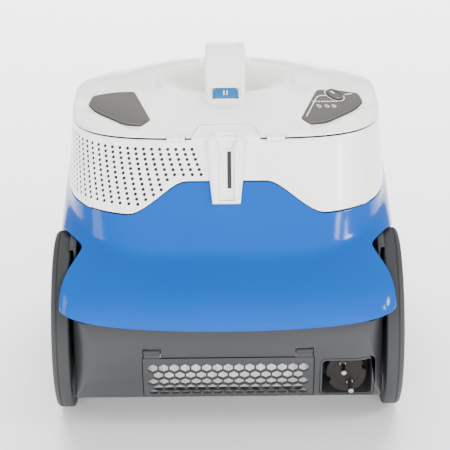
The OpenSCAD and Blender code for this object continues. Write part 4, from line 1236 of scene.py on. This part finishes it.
@dataclass
class Wheel:
    """One rear wheel: a grooved tyre, a domed disc with twelve sunk fields and a hub cap."""

    form: BodyForm
    side: Side
    width: float = 18.0
    bore: float = 6.05
    fields: int = 12

    def place(self) -> Matrix:
        """Puts the wheel, drawn with its outside up, on its axle."""
        inside = self.form.half_w - 4
        hub = Matrix.Translation((inside, self.form.axle.y, self.form.axle.z))
        turn = hub @ Matrix.Rotation(math.pi / 2, 4, "Y")
        return turn if self.side is Side.RIGHT else Matrix.Diagonal((-1, 1, 1, 1)) @ turn

    def build(self) -> None:
        """Builds the tyre, the disc and the cap."""
        r, w, body = self.form.wheel_r, self.width, self.side.word + "_wheel"
        tread = [(r - 7.4, 0.2), (r - 2.4, 0.2), (r - 1.2, 0.45), (r - 0.4, 1.1), (r, 2.2), (r, w - 7.6),
                 (r - 0.7, w - 7.3), (r - 0.7, w - 6.7), (r, w - 6.4), (r - 0.1, w - 5), (r - 0.8, w - 3.6),
                 (r - 2.2, w - 2.5), (r - 4.6, w - 1.9), (r - 7.4, w - 1.9)]
        piece(self.side.word + "_tyre_tread", moved(lathe(tread, 128), self.place()), body, TYRE,
              (self.side.word + "_tyre",), 30)
        piece(self.side.word + "_wheel_disc", moved(self.disc(), self.place()), body, WHEEL_GREY,
              (self.side.word + "_rear_wheel",), 30)
        cap = [(0, w - 4.8), (24.2, w - 4.8), (24.2, w - 1.6), (22.6, w - 0.7), (19, w - 0.1),
               (17.6, w - 0.5), (16.8, w - 0.5), (15.6, w - 0.1), (0, w - 0.1)]
        piece(self.side.word + "_hub_cap_cover", moved(lathe(cap, 96), self.place()), body, SILVER,
              (self.side.word + "_hub_cap",), 30)

    def disc(self) -> bmesh.types.BMesh:
        """The domed disc, with a groove inside the tyre and the sunk fields between its spokes."""
        r, w = self.form.wheel_r, self.width
        profile = [(self.bore, 1), (r - 7.6, 1), (r - 7.6, w - 4), (r - 9, w - 3.2), (r - 10, w - 4),
                   (r - 11.2, w - 3.1), (r - 16, w - 2.5), (r - 26, w - 1.7), (r - 38, w - 1.2),
                   (r - 50, w - 1), (24.6, w - 1), (24.6, w - 5), (self.bore, w - 5)]
        steps = self.fields * 10
        bm = lathe(profile, steps)
        for field_number in range(self.fields):
            chosen = []
            for f in bm.faces:
                c = f.calc_center_median()
                turn = (math.atan2(c.y, c.x) / (2 * math.pi) * self.fields - field_number) % self.fields
                if 0.16 < turn < 0.84 and r - 50.5 < math.hypot(c.x, c.y) < r - 16 and c.z > w - 4:
                    chosen.append(f)
            bmesh.ops.inset_region(bm, faces=chosen, thickness=0.9, depth=-1.3, use_even_offset=True)
        bmesh.ops.recalc_face_normals(bm, faces=bm.faces)
        return bm


@dataclass
class Undercarriage:
    """The base with its exhaust door, plug recess and casters, refined from the CAD design."""

    frame: dict

    def build(self) -> None:
        """Builds the base's pieces."""
        for node, finish, width, segments in (
                ("base_tub", TUB_GREY, 0.8, 2), ("exhaust_door", TUB_GREY, 0.35, 2),
                ("plug_recess", TUB_GREY, 0.4, 2), ("hose_socket", TUB_GREY, 0.8, 3),
                ("exhaust_filter_frame", SHELL_WHITE, 0.5, 2)):
            refined(self.frame, node, finish, width, 42, segments)
        for side in Side:
            refined(self.frame, side.word + "_caster_fork", STEEL, 0.3, 42)
            refined(self.frame, side.word + "_caster_wheel", RUBBER, 0.5, 42, 3)


@dataclass
class Plug:
    """The parked mains plug: a moulded body with grip grooves, and two round pins."""

    frame: dict

    def build(self) -> None:
        """Builds the plug."""
        refined(self.frame, "plug_body", BLACK_PLASTIC, 0.9, 42, 3)
        refined(self.frame, "plug_pins", STEEL, 0.8, 42, 3)
        low, high = box_mm("plug_body")
        x, z, r = (low.x + high.x) / 2, (low.z + high.z) / 2, (high.x - low.x) / 2
        inner, outer = r * 0.62, r * 0.70
        ring = lathe([(inner, 0.0), (inner, -0.5), (r * 0.66, -0.7), (outer, -0.5), (outer, 0.0)], 72)
        place = Matrix.Translation((x, low.y + 0.2, z)) @ Matrix.Rotation(-math.pi / 2, 4, "X")
        piece("plug_face_ring", moved(ring, place), "plug", BLACK_PLASTIC)


@dataclass
class Board:
    """The motor's control board and the small components on it."""

    frame: dict

    def build(self) -> None:
        """Builds the board and its components."""
        refined(self.frame, "circuit_board", BOARD_GREEN, 0.3, 42, 1)
        low, high = box_mm("circuit_board")
        middle, top = (low + high) / 2, high.z
        coil = lathe([(4, 0), (8, 0), (8, 7), (4, 7)], 32)
        place = Matrix.Translation((middle.x - 18, middle.y + 8, top))
        piece("board_coil", moved(soften(coil, 0.8, 50), place), "chassis", COPPER)
        cans = []
        for x, y, r, h in ((-2, 9, 5, 12), (10, 10, 3.5, 9), (19, 10, 3.5, 9)):
            can = lathe([(0, 0), (r, 0), (r, h), (r - 0.6, h), (r - 0.9, h - 0.5), (0, h - 0.5)], 28)
            cans.append(moved(can, Matrix.Translation((middle.x + x, middle.y + y, top))))
        piece("board_capacitors", joined(*cans), "chassis", ALUMINIUM)
        blocks = []
        for x, y, size in ((-20, -10, (12, 8, 6)), (-4, -11, (9, 6, 2)), (9, -10, (7, 7, 1.5)),
                           (21, -10, (8, 10, 9))):
            block = rounded_box(size, 0.5, 2)
            blocks.append(moved(block, Matrix.Translation((middle.x + x, middle.y + y, top + size[2] / 2))))
        piece("board_blocks", joined(*blocks), "chassis", BLACK_PLASTIC)


@dataclass
class Interior:
    """The pieces inside, most of which keep their CAD shape and take a finish."""

    frame: dict
    softened: tuple[str, ...] = ("water_tank", "tank_cover", "tank_seal", "motor_housing",
                                 "motor_housing_cover", "cord_drum", "reel_bracket", "intake_duct",
                                 "inner_deck", "power_switch", "rewind_spring_case")

    def build(self) -> None:
        """Refines the larger pieces and gives every node that is still shown its finish."""
        slots = {row["node"]: row["material_slot"] for row in self.frame["record"]["subparts"]}
        for node in self.softened:
            refined(self.frame, node, FINISHES[slots[node]], 0.5, 42)
        Board(self.frame).build()
        for name, node in self.frame["nodes"].items():
            for holder in node.material_slots:
                holder.material = FINISHES[slots[name]].material()


# ---------------------------------------------------------------- studio


@dataclass(frozen=True)
class Softbox:
    """A studio light: where it stands, what it points at, its size in metres and its power.

    A light that isn't mirrored brightens a piece without showing in its gloss.
    """

    place: Point
    target: Point
    size: tuple[float, float]
    power: float
    mirrored: bool = True

    def build(self, name: str) -> None:
        """Adds the light."""
        light = bpy.data.lights.new(name, "AREA")
        light.shape, light.size, light.size_y, light.energy = "RECTANGLE", *self.size, self.power
        made = bpy.data.objects.new(name, light)
        made.matrix_world = looking(Vector(self.place), Vector(self.target))
        made.visible_glossy = self.mirrored
        bpy.context.scene.collection.objects.link(made)


def looking(place: Vector, target: Vector) -> Matrix:
    """The matrix of something at place that looks along its own -Z at target, its Y upward."""
    return Matrix.Translation(place) @ (target - place).to_track_quat("-Z", "Y").to_matrix().to_4x4()


@dataclass
class Studio:
    """The camera, the soft light and the pale floor."""

    target: Point = (0, -0.135, 0.173)
    camera_place: Point = (0, -1.7576, 0.8286)
    lens: float = 154.0
    tilt: float = -0.6
    shift: float = -0.004
    world: float = 0.75
    boxes: tuple[Softbox, ...] = (
        Softbox((0.0, 2.1, 2.0), (0, -0.05, 0.15), (3.2, 1.3), 330, False),
        Softbox((0.0, -3.4, 0.75), (0, -0.1, 0.15), (3.4, 1.1), 290, False),
        Softbox((2.0, -0.9, 1.5), (0, -0.1, 0.15), (0.45, 0.45), 26),
        Softbox((1.5, -1.3, 1.2), (0, -0.1, 0.15), (0.16, 0.5), 8),
        Softbox((-2.1, -0.5, 0.9), (0, -0.1, 0.15), (0.6, 1.4), 14),
    )

    def camera(self) -> None:
        """Adds the camera and makes it the scene's."""
        lens = bpy.data.cameras.new("camera")
        lens.lens, lens.sensor_width, lens.shift_x = self.lens, 36, self.shift
        lens.clip_start, lens.clip_end = 0.05, 50
        made = bpy.data.objects.new("camera", lens)
        made.matrix_world = (looking(Vector(self.camera_place), Vector(self.target))
                             @ Matrix.Rotation(math.radians(self.tilt), 4, "Z"))
        bpy.context.scene.collection.objects.link(made)
        bpy.context.scene.camera = made

    def light(self) -> None:
        """Adds the even light of the room and the softboxes."""
        world = bpy.data.worlds.new("room")
        world.use_nodes = True
        background = world.node_tree.nodes["Background"]
        background.inputs["Color"].default_value = (1, 1, 1, 1)
        background.inputs["Strength"].default_value = self.world
        bpy.context.scene.world = world
        for number, box in enumerate(self.boxes):
            box.build(f"softbox_{number}")

    def floor(self) -> None:
        """Adds the pale floor."""
        bm = bmesh.new()
        bmesh.ops.create_grid(bm, x_segments=8, y_segments=8, size=6)
        mesh = bpy.data.meshes.new("floor")
        bm.to_mesh(mesh)
        bm.free()
        finish = Finish("floor", (246, 246, 246), 0.7, mottle=0.01, mottle_size=400, depth=0.02)
        mesh.materials.append(finish.material())
        made = bpy.data.objects.new("floor", mesh)
        bpy.context.scene.collection.objects.link(made)
        made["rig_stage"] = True


def corners(bounds: Sequence[Iterable[float]]) -> list[list[float]]:
    """A box's two corners as plain numbers."""
    return [[float(c) for c in corner] for corner in bounds]


def main() -> None:
    """Builds the vacuum cleaner round its frame, reports its pieces and works out both boxes."""
    logging.basicConfig(level=logging.INFO, format="%(message)s")
    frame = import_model()
    studio = Studio()
    studio.camera()
    cad_box = corners(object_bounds())
    form = BodyForm.from_frame()
    panel = joint_place(frame, "knob_turn")
    shells = Shells(form)
    pedals = Pedals(form, panel)
    shells.build()
    Lid(form, panel, shells, pedals).build()
    pedals.build()
    for side in Side:
        Wheel(form, side).build()
    Undercarriage(frame).build()
    Plug(frame).build()
    Interior(frame).build()
    studio.light()
    studio.floor()
    {"cad": cad_box, "visual": corners(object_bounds())}


if __name__ == "__main__":
    main()
